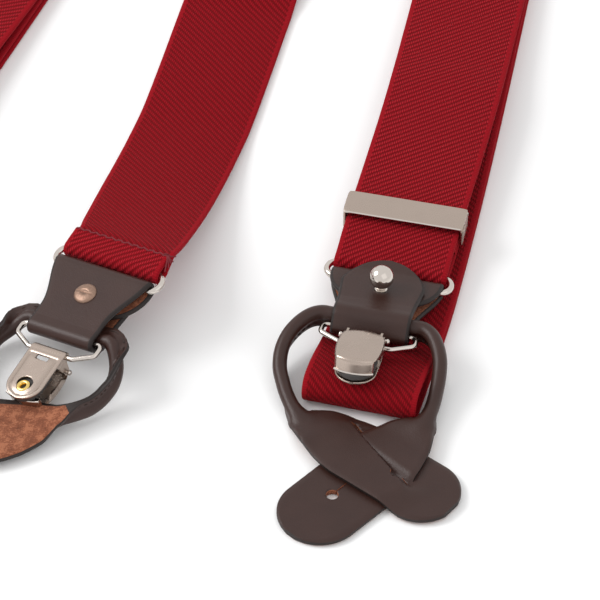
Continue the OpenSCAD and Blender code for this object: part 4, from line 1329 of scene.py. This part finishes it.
def make_adjuster(end):
    """Cheeks with a pointed ear, back bar, cam plate with folded ends, and its pin."""
    place = F[end]["slide"]
    body, lid = f"{end}_adjuster", f"{end}_adjuster_flap"
    half = WEB_W / 2 + 0.3
    bar_z = BAR_Z - SLIDE_Z
    for side in (-1, 1):
        outline = [(PIN_Y - 0.6, -4.2), (3.6, -4.6), (4.3, -3.8), (4.3, 1.9), (3.6, 2.4), (PIN_Y + 2.2, 2.4),
                   (PIN_Y + 1.2, 2.0)] + arc(PIN_Y, PIN_Z, 0.75, 30, 180, 8) + [(PIN_Y - 0.75, -1.0)]
        ob = side_plate(f"{end}_adjuster_cheek_{'a' if side > 0 else 'b'}", body, place, outline,
                        side * (half + 0.35))
        bevel(ob, 0.14)
        if side > 0:
            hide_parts(f"{end}_adjuster_frame")
    bar = place(np.array([vec(x, 0, bar_z) for x in np.linspace(-half - 0.3, half + 0.3, 9)]))
    ob = sweep(f"{end}_adjuster_bar", body, bar, 0.9, [BRIGHT], k=20)
    pin = place(np.array([vec(x, PIN_Y, PIN_Z) for x in np.linspace(-half - 0.9, half + 0.9, 9)]))
    ob = sweep(f"{end}_adjuster_axle", body, pin, 0.55, [BRIGHT], k=14)
    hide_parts(f"{end}_adjuster_pin")
    # Cam plate: a shallow channel whose ends are folded down in a line that shows as a crease
    low, high = PIN_Y - 0.7, PIN_Y - 0.7 + SLIDE_L
    loops = []
    w = SLIDE_W / 2
    for y in np.linspace(low, high, 16):
        t = (y - low) / (high - low)
        lift = 0.22 * math.sin(t * math.pi) - 0.25 * float(smooth(t, 0.93, 1.0))
        pts = []
        for a, b in slab(w - 0.25 * (1 - math.sin(t * math.pi)) ** 3, 0.62, 36, edge=0.4):
            crease = -0.16 * math.exp(-((abs(a) - (w - 2.2)) / 0.22) ** 2)
            end_drop = -0.22 * float(smooth(abs(a), w - 2.0, w))
            pts.append(place(vec(a, y, 2.98 + b + lift * 0.8 + crease + end_drop)))
        loops.append(pts)
    ob = loft(f"{end}_adjuster_plate", lid, loops, [NICKEL], sharp=45)
    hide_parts(f"{end}_adjuster_lever")
    edge = place(np.array([vec(x, high - 0.05, 2.86) for x in np.linspace(-w + 0.5, w - 0.5, 21)]))
    ob = sweep(f"{end}_adjuster_rolled_edge", lid, edge, 0.34, [BRIGHT], k=12)
    for side in (-1, 1):
        outline = arc(PIN_Y, PIN_Z, 0.95, 180, 360, 10) + [(PIN_Y + 1.0, 2.75), (PIN_Y - 0.6, 2.75)]
        lug = side_plate(f"{end}_plate_lug_{'a' if side > 0 else 'b'}", lid, place, outline,
                         side * (WEB_W / 2 - 0.55), 0.3)
    # The ear that stands out beside the webbing at the lower right
    outline = [(1.2, 2.2), (2.6, 2.4), (4.0, 1.9), (5.6, -1.6), (5.0, -2.0), (3.4, 0.4), (1.6, 0.8)]
    loops = [[place(vec(-(half + 0.7 + t), y, z)) for y, z in outline] for t in (0.0, 0.45)]
    ear = loft(f"{end}_adjuster_ear", body, loops, [NICKEL], sharp=30)


for name in FRONTS:
    make_adjuster(name)


# ---------- back patch ----------

def patch_outline(inset=0.0, steps=7):
    """The patch's outline, drawn in by inset; its lowest edge is at y = 0."""
    w, h, i = 40.0 - inset, 62.0, inset
    corners = [(-20 + i, i), (20 - i, i), (22 - i, 16 - i * 0.3), (w, 36), (w - 12 + i * 0.3, h - i * 1.4),
               (12 - i * 0.2, h - 8 - i), (-12 + i * 0.2, h - 8 - i), (12 - w - i * 0.3, h - i * 1.4),
               (-w, 36), (-22 + i, 16 - i * 0.3)]
    radius = [4, 4, 9, 5, 5, 12, 12, 5, 5, 9]
    radius = [max(r - i * 0.4, 1.5) for r in radius]
    return rounded_path([vec(*c) for c in corners], radius, closed=True, steps=steps)


def make_patch():
    place = Place(vec(*PATCH_AT, 0), vec(*PATCH_ACROSS, 0), vec(*PATCH_UP, 0), vec(0, 0, 1))
    centre = vec(0, 28)
    upper = PATCH_T + WEB_T + 0.15
    # Each leather's lowest and highest point, and whether its flesh side is underneath
    layers = {"patch_face": (0.0, PATCH_T, False), "patch_backing": (upper, upper + PATCH_T, True)}
    for node, (low, high, flesh_below) in layers.items():
        loops = []

        def ring(shrink, inset, z):
            outline = patch_outline(inset)
            return [place(vec(*(centre + (p - centre) * shrink), z)) for p in outline]

        # From the middle of the underside, out over the edge, and in again over the top
        for shrink in (0.02, 0.3, 0.6, 0.85):
            loops.append(ring(shrink, 0.0, low))
        loops += [ring(1, 0.6, low), ring(1, 0.15, low + 0.25), ring(1, 0, low + 0.7), ring(1, 0, high - 0.7),
                  ring(1, 0.15, high - 0.25), ring(1, 0.6, high)]
        for shrink in (0.93, 0.85, 0.6, 0.3, 0.02):
            groove = -0.12 if shrink == 0.93 else 0.0
            loops.append(ring(shrink, 0.0, high + groove))

        def mat(i, a, flesh_below=flesh_below):
            if 3 < i < 9:
                return 2
            return 1 if flesh_below and 0 <= i <= 3 else 0

        ob = loft(f"back_{node}", "straps", loops, LEATHERS, mat, sharp=50)
        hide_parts(node)
    # A row of stitches round the edge of the top
    outline = patch_outline(3.0, 10)
    closed = np.vstack([outline, outline[:1]])
    gap, s = lengths(closed)
    verts, faces = [], []
    pitch, long = 3.0, 2.1
    for at in np.arange(0, s[-1] - 2.4, pitch):
        rings = []
        for q in np.linspace(0, long, 5):
            j = min(np.searchsorted(s, at + q, side="right") - 1, len(gap) - 1)
            p = closed[j] + (closed[j + 1] - closed[j]) * (at + q - s[j]) / gap[j]
            t = unit(closed[j + 1] - closed[j])
            r = 0.12 if q in (0, long) else 0.28
            height = upper + PATCH_T + 0.02 + 0.14 * math.sin(q / long * math.pi)
            rings.append([place(vec(p[0] - t[1] * r * a, p[1] + t[0] * r * a, height + r * b))
                          for a, b in circle_loop(1, 6)])
        add_stitch(verts, faces, rings)
    ob = piece("patch_stitching", "straps", verts, faces, [THREAD], sharp=80)


make_patch()


# ---------- stage ----------

AIM = Vector((9 * MM, -170 * MM, 0))


def look_at_aim(ob):
    ob.rotation_euler = (AIM - ob.location).to_track_quat("-Z", "Y").to_euler()


def make_stage():
    """A pale floor, a white world, and two soft lights."""
    me = bpy.data.meshes.new("floor")
    s = 2.0
    me.from_pydata([(-s, -s, 0), (s, -s, 0), (s, s, 0), (-s, s, 0)], [], [(0, 1, 2, 3)])
    floor = bpy.data.objects.new("floor", me)
    bpy.context.scene.collection.objects.link(floor)
    floor.location.z = -0.0003
    n = Nodes("floor")
    me.materials.append(n.finish((0.93, 0.93, 0.93), 0.9, Specular_IOR_Level=0.1))
    world = bpy.data.worlds.new("soft_white")
    bpy.context.scene.world = world
    world.use_nodes = True
    back = world.node_tree.nodes["Background"]
    back.inputs["Color"].default_value = (1.0, 1.0, 1.0, 1)
    back.inputs["Strength"].default_value = 0.95
    lights = (("key", (-0.85, 0.12, 0.72), 0.55, 6.6), ("fill", (0.5, -0.7, 0.9), 1.0, 0.8))
    for name, place, size, power in lights:
        light = bpy.data.lights.new(name, "AREA")
        light.size = size
        light.energy = power
        ob = bpy.data.objects.new(name, light)
        bpy.context.scene.collection.objects.link(ob)
        ob.location = AIM + Vector(place)
        look_at_aim(ob)


def make_camera():
    """Looks down at 46 degrees on the clips' end of the braces, from far away with a long lens."""
    data = bpy.data.cameras.new("camera")
    data.lens = 396
    data.sensor_width = 36
    cam = bpy.data.objects.new("camera", data)
    bpy.context.scene.collection.objects.link(cam)
    elevation, distance = math.radians(46), 2.0
    cam.location = AIM + Vector((0, -math.cos(elevation), math.sin(elevation))) * distance
    look_at_aim(cam)
    bpy.context.scene.camera = cam


make_stage()
make_camera()
bpy.context.scene.view_settings.view_transform = "Standard"
